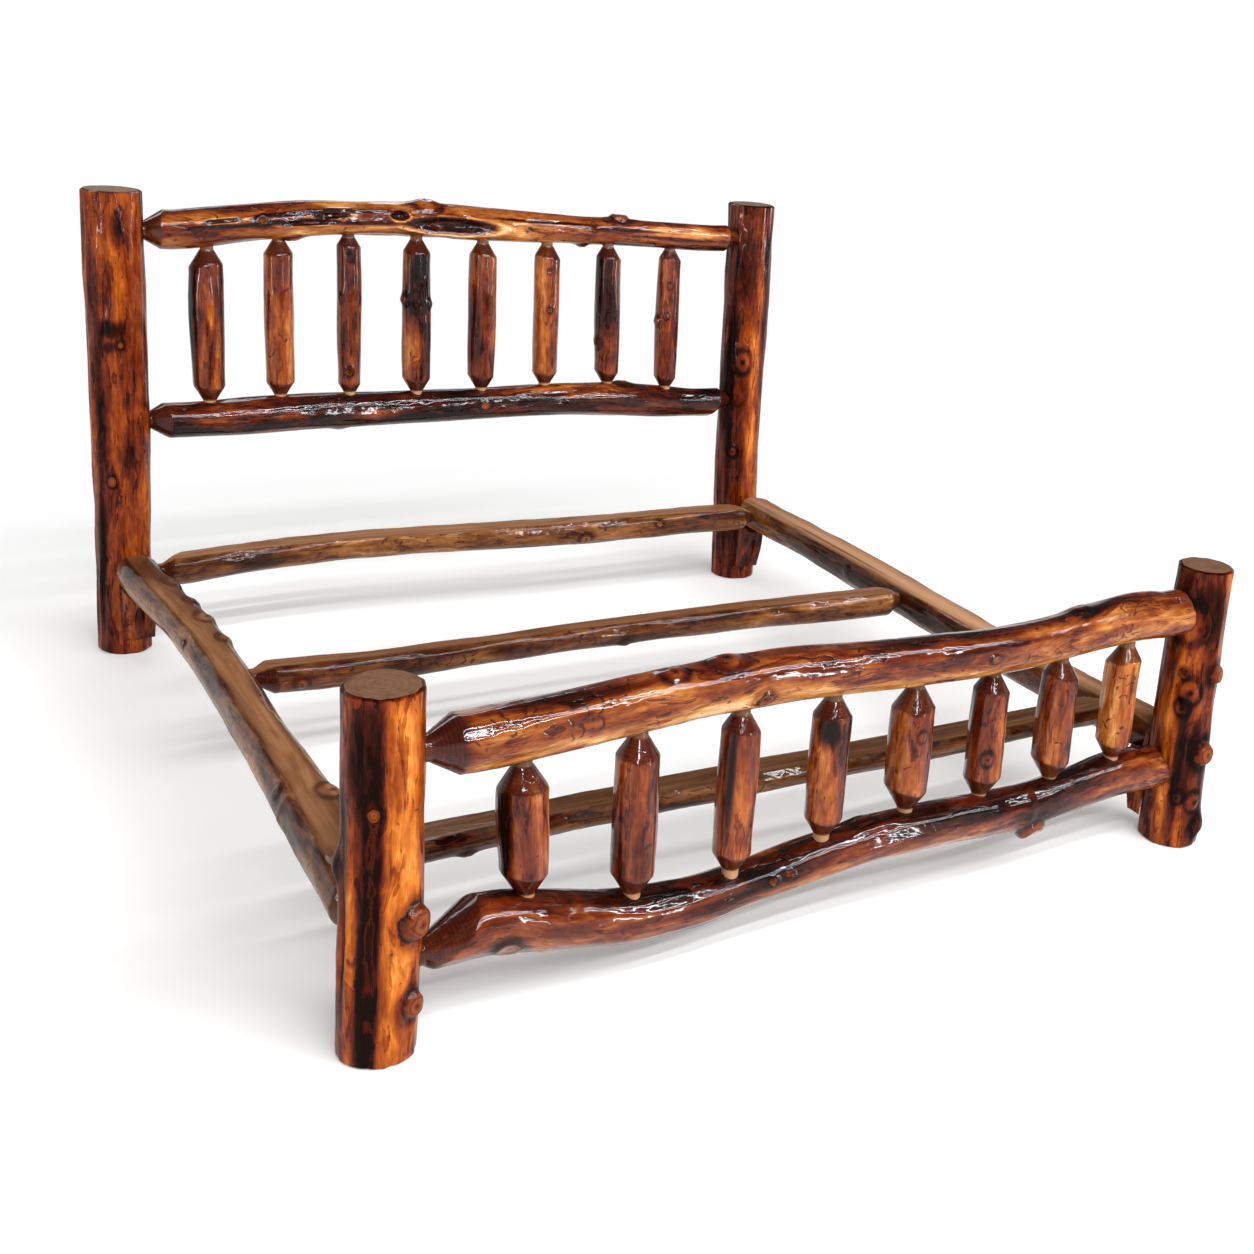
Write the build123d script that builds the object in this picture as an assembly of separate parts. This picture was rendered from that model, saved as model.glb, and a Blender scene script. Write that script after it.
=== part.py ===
from build123d import *

import os
from dataclasses import dataclass, field
from math import cos, radians, sin, tan

# Rustic log bed for a king-size mattress, in millimetres.
# Origin: on the floor, midway between the four posts. +Z up, +Y towards the headboard,
# +X to the right of someone who stands at the foot and looks at the headboard.

# ---- what the bed is built round ----
MATTRESS_WIDTH = 1930.0
MATTRESS_LENGTH = 2032.0
SIDE_GAP = 2.5             # mattress edge to the side of a post, each side
END_GAP = 6.5              # mattress end to the face of a post, each end
PLATFORM_HEIGHT = 305.0    # sawn flats of the side and cross rails, above the floor

# ---- posts: peeled logs, bark side down ----
POST_DIAMETER = 145.0
HEAD_POST_ABOVE_RAIL = 111.0   # post's top above the top rail's axis
FOOT_POST_ABOVE_RAIL = 132.0
POST_RIM_CHAMFER = 5.0

# ---- tenon cutter: every rail and spindle end is a pencil point with a round tenon ----
CUTTER_HALF_ANGLE = 31.0   # degrees, from the log's axis
RAIL_TENON_DIAMETER = 50.0
RAIL_TENON_DEPTH = 70.0
RAIL_NECK = 6.0            # tenon left showing between the cone and the post
RAIL_BEDDING = 16.0        # how far the footboard's right-hand cones sink into their post
SPINDLE_TENON_DIAMETER = 36.0
SPINDLE_TENON_DEPTH = 34.0
SPINDLE_NECK = 5.0
CROSS_TENON_DIAMETER = 42.0
CROSS_TENON_DEPTH = 30.0
CROSS_NECK = 3.0
SIDE_TENON_DIAMETER = 72.0
SIDE_TENON_DEPTH = 48.0
SIDE_BEDDING = 5.0         # how far the side rails' cones are let into the posts
FIT = 0.3                  # clearance all round a tenon, dowel, screw or coped joint

# ---- heights of the head and foot rails' axes, above the floor ----
HEAD_TOP_RAIL_HEIGHT = 1207.0
HEAD_LOW_RAIL_HEIGHT = 676.0
HEAD_LOW_RAIL_DROP = 24.0  # its right end sits this much lower
FOOT_TOP_RAIL_HEIGHT = 601.0
FOOT_LOW_RAIL_HEIGHT = 184.0

# ---- spindles ----
HEAD_SPINDLE_SPACES = 9.1   # spaces between spindles in the mattress's width
HEAD_SPINDLE_SHIFT = -58.0  # middle of the row, from the middle of the bed
HEAD_SPINDLE_DRIFT = 1.9    # how much the gaps widen towards the right
FOOT_SPINDLE_SPACES = 8.75
FOOT_SPINDLE_SHIFT = 50.0
FOOT_SPINDLE_DRIFT = -2.7
SPINDLE_BELLY = 3.0         # how much a spindle's middle is thicker than its ends

# ---- cross rails: how far the outer two are in from the posts, the other off the middle ----
HEAD_CROSS_INSET = 152.0
MIDDLE_CROSS_SHIFT = 60.0
FOOT_CROSS_INSET = 221.0

# ---- corbels: half-log blocks on the posts, under the side rails' ends ----
CORBEL_WIDTH = 92.0
CORBEL_REACH = 68.0        # out from the post at the top
CORBEL_TOE = 14.0          # out from the post at the bottom
CORBEL_BOTTOM = 48.0       # above the floor
CORBEL_DOWEL_DIAMETER = 12.0
CORBEL_DOWEL_LENGTH = 60.0
CORBEL_DOWEL_SPREAD = 56.0  # between a corbel's two dowels
CORBEL_DOWEL_DROP = 155.0   # below the platform

# ---- lag screws: up through each corbel into the side rail ----
SCREW_DIAMETER = 10.0
SCREW_BITE = 45.0          # length held in the rail
SCREW_STANDOFF = 30.0      # from the post's face
SCREW_HEAD_DROP = 139.0    # washer's upper face, below the platform
HEX_ACROSS_FLATS = 17.0
HEX_HEIGHT = 7.0
WASHER_DIAMETER = 26.0
WASHER_THICKNESS = 2.5
COUNTERBORE_CLEARANCE = 1.5

# ---- the long hollow in the headboard's top rail ----
HOLLOW_AT = 0.46           # share of the rail's length
HOLLOW_LENGTH = 340.0
HOLLOW_DEPTH = 27.0
HOLLOW_DROP = 6.0          # below the rail's middle

# ---- worked out from the above ----
POST_X = MATTRESS_WIDTH / 2 + SIDE_GAP + POST_DIAMETER / 2
POST_Y = MATTRESS_LENGTH / 2 + END_GAP + POST_DIAMETER / 2
HEAD_POST_HEIGHT = HEAD_TOP_RAIL_HEIGHT + HEAD_POST_ABOVE_RAIL
FOOT_POST_HEIGHT = FOOT_TOP_RAIL_HEIGHT + FOOT_POST_ABOVE_RAIL
SCREW_HEAD_HEIGHT = PLATFORM_HEIGHT - SCREW_HEAD_DROP
UP = Vector(0, 0, 1)


@dataclass
class Girth:
    """A log's middle and thickness at one station along it."""

    at: float        # share of the log's length
    aside: float     # centre off the straight axis, to the side
    above: float     # centre off the straight axis, upwards
    diameter: float


@dataclass
class Knot:
    """The stub of a branch: a low cone with a sawn end."""

    at: float        # share of the log's length
    turn: float      # degrees round the log, 0 to the side, 90 upwards
    base: float      # diameter where it leaves the wood
    tip: float       # diameter of its sawn end
    out: float       # how far it stands out


@dataclass
class Log:
    """A round log that runs crookedly about a straight axis from start to end."""

    start: Vector
    end: Vector
    girths: list
    knots: list = field(default_factory=list)

    @property
    def length(self):
        return (self.end - self.start).length

    @property
    def frame(self):
        along = (self.end - self.start).normalized()
        side = Vector(1, 0, 0) if abs(along.Z) > 0.7 else UP.cross(along)
        return Plane(origin=self.start, x_dir=side, z_dir=along)

    def girth(self, at):
        """The log's girth at any share of its length, between two stations."""
        for low, high in zip(self.girths, self.girths[1:]):
            if at <= high.at:
                break
        t = (at - low.at) / (high.at - low.at)
        return Girth(
            at,
            low.aside + t * (high.aside - low.aside),
            low.above + t * (high.above - low.above),
            low.diameter + t * (high.diameter - low.diameter),
        )

    def body(self, grow=0.0):
        """The crooked log itself, with square ends, made thicker by grow all round."""
        sections = [
            Pos(g.aside, g.above, g.at * self.length) * Circle(g.diameter / 2 + grow)
            for g in self.girths
        ]
        return self.frame.location * loft(sections)

    def knot(self, knot):
        """One branch stub, rooted inside the log."""
        g = self.girth(knot.at)
        root = 0.55 * g.diameter / 2
        height = g.diameter / 2 + knot.out - root
        out = Vector(cos(radians(knot.turn)), sin(radians(knot.turn)), 0)
        foot = Vector(g.aside, g.above, knot.at * self.length) + out * root
        stub = Cone(knot.base / 2, knot.tip / 2, height, align=(Align.CENTER, Align.CENTER, Align.MIN))
        return self.frame.location * (Plane(origin=foot, z_dir=out).location * stub)

    def knots_on(self, solid):
        for knot in self.knots:
            solid = solid + self.knot(knot)
        return solid


def cutter_outline(length, tenon_diameter, tenon_depth, widest, grow=0.0):
    """Half the shape that the tenon cutter leaves: a cone at each end, a tenon beyond each."""
    radius = tenon_diameter / 2 + grow
    shoulder = widest / 2 + grow
    cone = (shoulder - radius) / tan(radians(CUTTER_HALF_ANGLE))
    depth = tenon_depth + grow
    return make_face(
        Polyline(
            (0, -depth),
            (radius, -depth),
            (radius, 0),
            (shoulder, cone),
            (shoulder, length - cone),
            (radius, length),
            (radius, length + depth),
            (0, length + depth),
            close=True,
        )
    )


def turned(log, outline):
    """An outline turned about a log's straight axis."""
    return log.frame.location * revolve(Plane.XZ * outline, Axis.Z)


def widest(log):
    """A width that any part of a log stays inside, bends and all."""
    return 2.5 * max(g.diameter for g in log.girths)


def pointed(log, tenon_diameter, tenon_depth):
    """A crooked log with both ends cut to pencil points and round tenons."""
    cutter = turned(log, cutter_outline(log.length, tenon_diameter, tenon_depth, widest(log)))
    solid = log.body() & cutter
    tenon = Cylinder(tenon_diameter / 2, tenon_depth + 1, align=(Align.CENTER, Align.CENTER, Align.MIN))
    for place in (-tenon_depth, log.length - 1):
        solid = solid + log.frame.location * (Pos(0, 0, place) * tenon)
    return log.knots_on(solid)


def bellied(log, tenon_diameter, tenon_depth):
    """A straight log that swells evenly to its middle, pointed in the same way."""
    end, middle = log.girths[0].diameter / 2, log.girths[1].diameter / 2
    side = ThreePointArc((end, 0), (middle, log.length / 2), (end, log.length))
    belly = make_face(side + Polyline((end, log.length), (0, log.length), (0, 0), (end, 0)))
    core = Pos(0, log.length / 2) * Rectangle(tenon_diameter, log.length + 2 * tenon_depth)
    cutter = cutter_outline(log.length, tenon_diameter, tenon_depth, widest(log))
    return log.knots_on(turned(log, (belly + core) & cutter))


def sockets(log, tenon_diameter, tenon_depth):
    """The holes that a pointed log's two ends need in what carries them."""
    return turned(log, cutter_outline(log.length, tenon_diameter, tenon_depth, widest(log), FIT))


def first_hit(solid, start, direction):
    """Where a straight line from start first meets a solid."""
    hits = solid.find_intersection_points(Axis(start, direction))
    ahead = [(p - start).dot(direction) for p, _ in hits if (p - start).dot(direction) > 0]
    return start + direction * min(ahead)


# ---- posts ----
def make_post(side, end, height, lean, girths, knots):
    """A post that leans by lean from foot to top, with both rims eased."""
    foot = Vector(side * POST_X, end * POST_Y, 0)
    leaning = [
        Girth(g.at, g.aside + lean[0] * g.at, g.above + lean[1] * g.at, g.diameter) for g in girths
    ]
    log = Log(foot, foot + UP * height, leaning, knots)
    solid = log.body()
    sawn_ends = solid.faces().sort_by(Axis.Z)
    rims = sawn_ends[0].edges() + sawn_ends[-1].edges()
    return log, log.knots_on(chamfer(rims, POST_RIM_CHAMFER))


def post_girths(foot, middle, top, bend=0.0):
    """Three girths for a post, given as what they add to the nominal diameter."""
    return [
        Girth(0.0, 0, 0, POST_DIAMETER + foot),
        Girth(0.5, bend, 0, POST_DIAMETER + middle),
        Girth(1.0, 0, 0, POST_DIAMETER + top),
    ]


LEFT, RIGHT = -1, 1
HEAD, FOOT = 1, -1

post_logs = {}
parts = {}
post_logs["post_head_left"], parts["post_head_left"] = make_post(
    LEFT, HEAD, HEAD_POST_HEIGHT, (20, -13), post_girths(0, 5, 1, bend=4),
    [Knot(0.73, -100, 34, 16, 6)],
)
post_logs["post_head_right"], parts["post_head_right"] = make_post(
    RIGHT, HEAD, HEAD_POST_HEIGHT, (-24, 18), post_girths(2, 7, 5, bend=-4),
    [Knot(0.60, -120, 46, 22, 8)],
)
post_logs["post_foot_left"], parts["post_foot_left"] = make_post(
    LEFT, FOOT, FOOT_POST_HEIGHT, (14, 8), post_girths(0, -1, 1, bend=3),
    [
        Knot(0.400, -58, 52, 34, 14),
        Knot(0.165, -57, 40, 24, 12),
        Knot(0.705, -120, 44, 22, 5),
        Knot(0.530, 155, 46, 24, 12),
    ],
)
post_logs["post_foot_right"], parts["post_foot_right"] = make_post(
    RIGHT, FOOT, FOOT_POST_HEIGHT, (-20, 5), post_girths(4, 0, -12, bend=-3),
    [
        Knot(0.645, -78, 34, 20, 14),
        Knot(0.360, -88, 48, 26, 22),
        Knot(0.085, -74, 40, 22, 14),
        Knot(0.585, -128, 56, 26, 14),
        Knot(0.180, -95, 36, 18, 8),
    ],
)


# ---- head and foot rails ----
def make_rail(board, height, drop, girths, knots):
    """A rail across the bed, from post to post; drop is how much lower its right end sits."""
    y = POST_Y * (HEAD if board == "head" else FOOT)
    middle = Vector(0, y, height - drop / 2)
    slope = Vector(2 * POST_X, 0, -drop).normalized()
    left = first_hit(parts[f"post_{board}_left"], middle, slope * -1)
    right = first_hit(parts[f"post_{board}_right"], middle, slope)
    into_right = RAIL_BEDDING if board == "foot" else -RAIL_NECK
    return Log(left + slope * RAIL_NECK, right + slope * into_right, girths, knots)


rail_logs = {
    "headboard_top_rail": make_rail(
        "head", HEAD_TOP_RAIL_HEIGHT, 0,
        [
            Girth(0.00, 0, 0, 98),
            Girth(0.10, 4, 12, 108),
            Girth(0.29, -8, 43, 100),
            Girth(0.45, 5, 37, 104),
            Girth(0.65, 9, 21, 96),
            Girth(0.83, -3, 9, 86),
            Girth(1.00, 0, -2, 80),
        ],
        [
            Knot(0.425, 100, 70, 26, 14),
            Knot(0.755, 92, 54, 20, 13),
            Knot(0.695, -86, 44, 12, 12),
            Knot(0.330, -88, 40, 14, 10),
        ],
    ),
    "headboard_lower_rail": make_rail(
        "head", HEAD_LOW_RAIL_HEIGHT, HEAD_LOW_RAIL_DROP,
        [
            Girth(0.00, 0, 0, 98),
            Girth(0.14, -5, 2, 104),
            Girth(0.32, 6, 8, 104),
            Girth(0.48, 8, 9, 98),
            Girth(0.65, -6, 17, 106),
            Girth(0.83, -4, 5, 104),
            Girth(1.00, 0, -6, 104),
        ],
        [Knot(0.295, -80, 46, 20, 9), Knot(0.90, -85, 46, 18, 9)],
    ),
    "footboard_top_rail": make_rail(
        "foot", FOOT_TOP_RAIL_HEIGHT, 0,
        [
            Girth(0.00, 0, 0, 112),
            Girth(0.18, 6, 8, 112),
            Girth(0.34, 8, 21, 110),
            Girth(0.56, -5, 12, 112),
            Girth(0.68, -8, 5, 108),
            Girth(0.84, 4, 16, 114),
            Girth(1.00, 0, 2, 102),
        ],
        [Knot(0.375, -145, 46, 22, 8), Knot(0.330, 95, 52, 18, 9)],
    ),
    "footboard_lower_rail": make_rail(
        "foot", FOOT_LOW_RAIL_HEIGHT, 0,
        [
            Girth(0.00, 0, 3, 110),
            Girth(0.20, 5, -26, 110),
            Girth(0.40, 8, -19, 108),
            Girth(0.58, -4, 18, 104),
            Girth(0.75, -8, 11, 102),
            Girth(0.88, 3, 22, 112),
            Girth(1.00, 0, 4, 100),
        ],
        [Knot(0.745, -120, 74, 54, 22), Knot(0.115, -160, 56, 34, 5)],
    ),
}
for name, log in rail_logs.items():
    parts[name] = pointed(log, RAIL_TENON_DIAMETER, RAIL_TENON_DEPTH)
    ends = sockets(log, RAIL_TENON_DIAMETER, RAIL_TENON_DEPTH)
    board = "post_head" if name.startswith("head") else "post_foot"
    for side in ("left", "right"):
        parts[f"{board}_{side}"] = parts[f"{board}_{side}"] - ends


# ---- spindles ----
def make_spindles(board, pitch, shift, drift, diameters, leans, knots):
    """Eight spindles between a board's two rails, each seated on the rails' real surfaces."""
    low_rail, top_rail = parts[f"{board}_lower_rail"], parts[f"{board}_top_rail"]
    low_log, top_log = rail_logs[f"{board}_lower_rail"], rail_logs[f"{board}_top_rail"]
    y = low_log.start.Y
    for i, diameter in enumerate(diameters):
        from_middle = i - (len(diameters) - 1) / 2
        x = shift + pitch * from_middle + drift * from_middle**2
        between = (low_log.start.Z + top_log.start.Z) / 2
        foot = first_hit(low_rail, Vector(x + leans[i] / 2, y, between), UP * -1)
        top = first_hit(top_rail, Vector(x - leans[i] / 2, y, between), UP)
        up = (top - foot).normalized()
        girths = [
            Girth(0.0, 0, 0, diameter - SPINDLE_BELLY),
            Girth(0.5, 0, 0, diameter + SPINDLE_BELLY),
            Girth(1.0, 0, 0, diameter - SPINDLE_BELLY),
        ]
        log = Log(foot + up * SPINDLE_NECK, top - up * SPINDLE_NECK, girths, knots.get(i + 1, []))
        parts[f"{board}_spindle_{i + 1}"] = bellied(log, SPINDLE_TENON_DIAMETER, SPINDLE_TENON_DEPTH)
        holes = sockets(log, SPINDLE_TENON_DIAMETER, SPINDLE_TENON_DEPTH)
        low_rail = low_rail - holes
        top_rail = top_rail - holes
    parts[f"{board}_lower_rail"] = low_rail
    parts[f"{board}_top_rail"] = top_rail


make_spindles(
    "headboard", MATTRESS_WIDTH / HEAD_SPINDLE_SPACES, HEAD_SPINDLE_SHIFT, HEAD_SPINDLE_DRIFT,
    diameters=[86, 78, 69, 82, 77, 76, 78, 75],
    leans=[-4, -2, 2, 4, 4, 6, 16, 10],
    knots={
        4: [Knot(0.62, 175, 40, 16, 12), Knot(0.66, 5, 34, 14, 8)],
        7: [Knot(0.30, 180, 34, 18, 14)],
        8: [Knot(0.43, 180, 36, 20, 12)],
    },
)
make_spindles(
    "footboard", MATTRESS_WIDTH / FOOT_SPINDLE_SPACES, FOOT_SPINDLE_SHIFT, FOOT_SPINDLE_DRIFT,
    diameters=[92, 86, 82, 78, 88, 84, 83, 80],
    leans=[12, 3, 2, 2, 6, 4, 14, 3],
    knots={2: [Knot(0.84, 0, 40, 20, 6)], 6: [Knot(0.24, -90, 46, 24, 6)]},
)


# ---- the long hollow in the headboard's top rail, where a wound healed over ----
def healed_hollow(length, depth, middle):
    """A pod-shaped pocket, pointed at both ends, along the rail."""
    outline = ThreePointArc((-length / 2, 0), (0, depth), (length / 2, 0))
    pod = revolve(make_face(outline + Line((length / 2, 0), (-length / 2, 0))), Axis.X)
    return Pos(middle) * pod


top_log = rail_logs["headboard_top_rail"]
hollow_girth = top_log.girth(HOLLOW_AT)
hollow_middle = top_log.start + Vector(
    HOLLOW_AT * top_log.length,
    hollow_girth.aside - hollow_girth.diameter / 2,
    hollow_girth.above - HOLLOW_DROP,
)
parts["headboard_top_rail"] = parts["headboard_top_rail"] - healed_hollow(
    HOLLOW_LENGTH, HOLLOW_DEPTH, hollow_middle
)


# ---- side rails, sawn flat on top, and their corbels ----
above_platform = Pos(0, 0, PLATFORM_HEIGHT) * Box(
    4 * POST_X, 4 * POST_Y, POST_DIAMETER, align=(Align.CENTER, Align.CENTER, Align.MIN)
)


def make_side_rail(side, shift_head, shift_foot, sunk, girths, knots):
    """A side rail from head to foot; shifts are its ends' places off the posts' middles."""
    name = "left" if side == LEFT else "right"
    axis_height = PLATFORM_HEIGHT - sunk
    x_head = side * POST_X + shift_head
    x_foot = side * POST_X + shift_foot
    middle = Vector((x_head + x_foot) / 2, 0, axis_height)
    to_head = Vector(x_head - x_foot, 2 * POST_Y, 0).normalized()
    head = first_hit(parts[f"post_head_{name}"], middle, to_head)
    foot = first_hit(parts[f"post_foot_{name}"], middle, to_head * -1)
    log = Log(head + to_head * SIDE_BEDDING, foot - to_head * SIDE_BEDDING, girths, knots)
    rail = pointed(log, SIDE_TENON_DIAMETER, SIDE_TENON_DEPTH) - above_platform
    ends = sockets(log, SIDE_TENON_DIAMETER, SIDE_TENON_DEPTH)
    for post in (f"post_head_{name}", f"post_foot_{name}"):
        parts[post] = parts[post] - ends
    return log, rail


side_logs = {}
side_logs["left"], parts["side_rail_left"] = make_side_rail(
    LEFT, 22, 5, 48,
    [
        Girth(0.00, 0, 0, 120),
        Girth(0.15, 18, 0, 118),
        Girth(0.32, 35, 1, 114),
        Girth(0.50, 33, 0, 114),
        Girth(0.70, 22, -1, 120),
        Girth(0.87, 11, 0, 128),
        Girth(1.00, 0, 0, 126),
    ],
    [Knot(0.245, 22, 60, 30, 10), Knot(0.80, 200, 46, 22, 7)],
)
side_logs["right"], parts["side_rail_right"] = make_side_rail(
    RIGHT, 6, -20, 40,
    [
        Girth(0.00, 0, 0, 122),
        Girth(0.20, 2, 0, 124),
        Girth(0.41, -6, 0, 124),
        Girth(0.62, -20, 0, 120),
        Girth(0.80, -22, 0, 118),
        Girth(0.92, -12, 0, 116),
        Girth(1.00, 0, 0, 114),
    ],
    [Knot(0.175, 188, 44, 22, 8), Knot(0.30, 15, 50, 22, 8)],
)


@dataclass
class Joint:
    """Where a side rail meets a post: the corner's names and its straight-out direction."""

    post: str
    side: str
    x: float
    y: float
    inward: int

    def out(self, distance):
        """The Y of a point this far out from the post's nominal face."""
        return self.y + self.inward * (POST_DIAMETER / 2 + distance)


joints = []
for side, log in side_logs.items():
    joints.append(Joint(f"post_head_{side}", side, log.start.X, HEAD * POST_Y, -HEAD))
    joints.append(Joint(f"post_foot_{side}", side, log.end.X, FOOT * POST_Y, -FOOT))


def make_corbel(joint):
    """A half-log block, slanted from its wide top down to a narrow toe, coped to its post."""
    back = -POST_DIAMETER / 2
    side_view = Polyline(
        (joint.out(back), CORBEL_BOTTOM),
        (joint.out(CORBEL_TOE), CORBEL_BOTTOM),
        (joint.out(CORBEL_REACH), PLATFORM_HEIGHT - POST_DIAMETER / 2),
        (joint.out(CORBEL_REACH), PLATFORM_HEIGHT - POST_DIAMETER / 4),
        (joint.out(back), PLATFORM_HEIGHT - POST_DIAMETER / 4),
        close=True,
    )
    wedge = Pos(joint.x, 0, 0) * extrude(
        make_face(Plane.YZ * side_view), CORBEL_WIDTH / 2, both=True
    )
    round_front = Pos(joint.x, joint.out(CORBEL_REACH - CORBEL_WIDTH / 2), 0) * Cylinder(
        CORBEL_WIDTH / 2, PLATFORM_HEIGHT, align=(Align.CENTER, Align.CENTER, Align.MIN)
    )
    behind = Pos(joint.x, (joint.y + joint.out(CORBEL_REACH - CORBEL_WIDTH / 2)) / 2, 0) * Box(
        CORBEL_WIDTH,
        POST_DIAMETER / 2 + CORBEL_REACH - CORBEL_WIDTH / 2,
        PLATFORM_HEIGHT,
        align=(Align.CENTER, Align.CENTER, Align.MIN),
    )
    rail = side_logs[joint.side]
    rail_space = rail.body(FIT) + sockets(rail, SIDE_TENON_DIAMETER, SIDE_TENON_DEPTH)
    return (wedge & (round_front + behind)) - post_logs[joint.post].body(FIT) - rail_space


def upright(x, y, bottom, top, diameter):
    """A round bar or hole from one height to another."""
    bar = Cylinder(diameter / 2, top - bottom, align=(Align.CENTER, Align.CENTER, Align.MIN))
    return Pos(x, y, bottom) * bar


dowels, screws, washers = [], [], []
for joint in joints:
    corbel = make_corbel(joint)
    post = parts[joint.post]
    rail = parts[f"side_rail_{joint.side}"]

    # Two glued dowels hold the block to its post.
    for x in (joint.x - CORBEL_DOWEL_SPREAD / 2, joint.x + CORBEL_DOWEL_SPREAD / 2):
        place = Pos(x, joint.out(0), PLATFORM_HEIGHT - CORBEL_DOWEL_DROP) * Rot(90, 0, 0)
        dowels.append(place * Cylinder(CORBEL_DOWEL_DIAMETER / 2, CORBEL_DOWEL_LENGTH))
        hole = place * Cylinder(CORBEL_DOWEL_DIAMETER / 2 + FIT, CORBEL_DOWEL_LENGTH + 2 * FIT)
        corbel = corbel - hole
        post = post - hole

    # One lag screw, sunk in the block's underside, goes up into the rail.
    y = joint.out(SCREW_STANDOFF)
    underside = first_hit(rail, Vector(joint.x, y, 0), UP).Z
    tip = underside + SCREW_BITE
    washer_bottom = SCREW_HEAD_HEIGHT - WASHER_THICKNESS
    head_bottom = washer_bottom - HEX_HEIGHT
    hex_head = Pos(joint.x, y, head_bottom) * extrude(
        RegularPolygon(HEX_ACROSS_FLATS / 2, 6, major_radius=False), HEX_HEIGHT
    )
    screws.append(hex_head + upright(joint.x, y, washer_bottom, tip, SCREW_DIAMETER))
    washers.append(
        upright(joint.x, y, washer_bottom, SCREW_HEAD_HEIGHT, WASHER_DIAMETER)
        - upright(joint.x, y, washer_bottom, SCREW_HEAD_HEIGHT, SCREW_DIAMETER + 2 * FIT)
    )
    pilot = upright(joint.x, y, SCREW_HEAD_HEIGHT, tip + FIT, SCREW_DIAMETER + 2 * FIT)
    counterbore = upright(
        joint.x, y, 0, SCREW_HEAD_HEIGHT, WASHER_DIAMETER + 2 * COUNTERBORE_CLEARANCE
    )
    parts[joint.post.replace("post", "corbel")] = corbel - pilot - counterbore
    parts[f"side_rail_{joint.side}"] = rail - pilot
    parts[joint.post] = post


# ---- cross rails, sawn flat on top, let into the side rails ----
def make_cross_rail(station, skew, sunk, girths, knots):
    """A cross rail between the side rails; skew is how much nearer the head its right end is."""
    along = Vector(2 * POST_X, skew, 0).normalized()
    middle = Vector(0, station, PLATFORM_HEIGHT - sunk)
    left = first_hit(parts["side_rail_left"], middle, along * -1)
    right = first_hit(parts["side_rail_right"], middle, along)
    log = Log(left + along * CROSS_NECK, right - along * CROSS_NECK, girths, knots)
    ends = sockets(log, CROSS_TENON_DIAMETER, CROSS_TENON_DEPTH)
    for rail in ("side_rail_left", "side_rail_right"):
        parts[rail] = parts[rail] - ends
    return pointed(log, CROSS_TENON_DIAMETER, CROSS_TENON_DEPTH) - above_platform


parts["cross_rail_head"] = make_cross_rail(
    POST_Y - HEAD_CROSS_INSET, -36, 37,
    [
        Girth(0.00, 0, 0, 98),
        Girth(0.10, 36, 2, 98),
        Girth(0.30, 58, 15, 100),
        Girth(0.55, 32, 6, 102),
        Girth(0.75, 20, 2, 102),
        Girth(1.00, 0, 0, 98),
    ],
    [Knot(0.10, -80, 40, 20, 7), Knot(0.40, -95, 36, 16, 6), Knot(0.72, -70, 58, 30, 9)],
)
parts["cross_rail_middle"] = make_cross_rail(
    MIDDLE_CROSS_SHIFT, -80, 33,
    [
        Girth(0.00, 0, 0, 86),
        Girth(0.25, -10, 0, 80),
        Girth(0.52, 12, 3, 77),
        Girth(0.82, 12, 0, 86),
        Girth(1.00, 0, 0, 92),
    ],
    [Knot(0.085, -75, 46, 26, 7), Knot(0.565, -85, 36, 16, 7), Knot(0.665, -90, 30, 14, 5)],
)
parts["cross_rail_foot"] = make_cross_rail(
    FOOT_CROSS_INSET - POST_Y, -14, 21,
    [
        Girth(0.00, 0, 0, 84),
        Girth(0.35, 4, 1, 84),
        Girth(0.70, -5, 2, 86),
        Girth(1.00, 0, 0, 84),
    ],
    [Knot(0.055, -80, 42, 20, 8), Knot(0.80, -95, 34, 16, 6)],
)

parts["corbel_dowels"] = Compound(dowels)
parts["rail_lag_screws"] = Compound(screws)
parts["rail_washers"] = Compound(washers)

os.makedirs("parts", exist_ok=True)
for name, solid in parts.items():
    export_step(solid, f"parts/{name}.step")
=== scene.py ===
# %% [markdown]
# # A king-size log bed
#
# The bed is made of peeled logs under clear gloss varnish: four posts, two boards of short
# spindles between rails, two side rails with a sawn flat on top, three cross rails and four
# corbels. The CAD frame gives every log's place, length and girth. This script gives each log
# the skin that makes it a real one: lobes, ridges, knots, dark patches of inner bark, and
# the grain that runs round them.
#
# First the frame is loaded.

# %% Load the frame
from math import cos, pi, radians, sin, tan

import bpy
import numpy as np
from mathutils import Matrix, Vector


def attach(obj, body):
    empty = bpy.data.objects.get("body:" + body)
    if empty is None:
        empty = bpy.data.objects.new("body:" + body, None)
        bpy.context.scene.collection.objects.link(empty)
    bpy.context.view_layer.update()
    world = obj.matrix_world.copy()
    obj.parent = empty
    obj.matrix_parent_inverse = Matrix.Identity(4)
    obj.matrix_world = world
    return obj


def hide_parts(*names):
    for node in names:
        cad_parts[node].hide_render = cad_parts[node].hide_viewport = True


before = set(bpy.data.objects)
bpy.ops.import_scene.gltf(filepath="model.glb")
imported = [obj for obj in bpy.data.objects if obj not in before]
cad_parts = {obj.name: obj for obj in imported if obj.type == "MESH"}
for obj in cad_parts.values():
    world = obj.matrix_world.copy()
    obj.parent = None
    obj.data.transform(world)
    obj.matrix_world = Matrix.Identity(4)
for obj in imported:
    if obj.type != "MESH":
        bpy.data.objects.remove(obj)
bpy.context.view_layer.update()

# %% [markdown]
# ## Small helpers
#
# Blender's operators act on whatever is selected, so each modelling step starts from nothing
# selected. Colours are written as sRGB hex, as a painter would mix them on screen, and one
# function turns them to the linear values that shaders work in.

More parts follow.
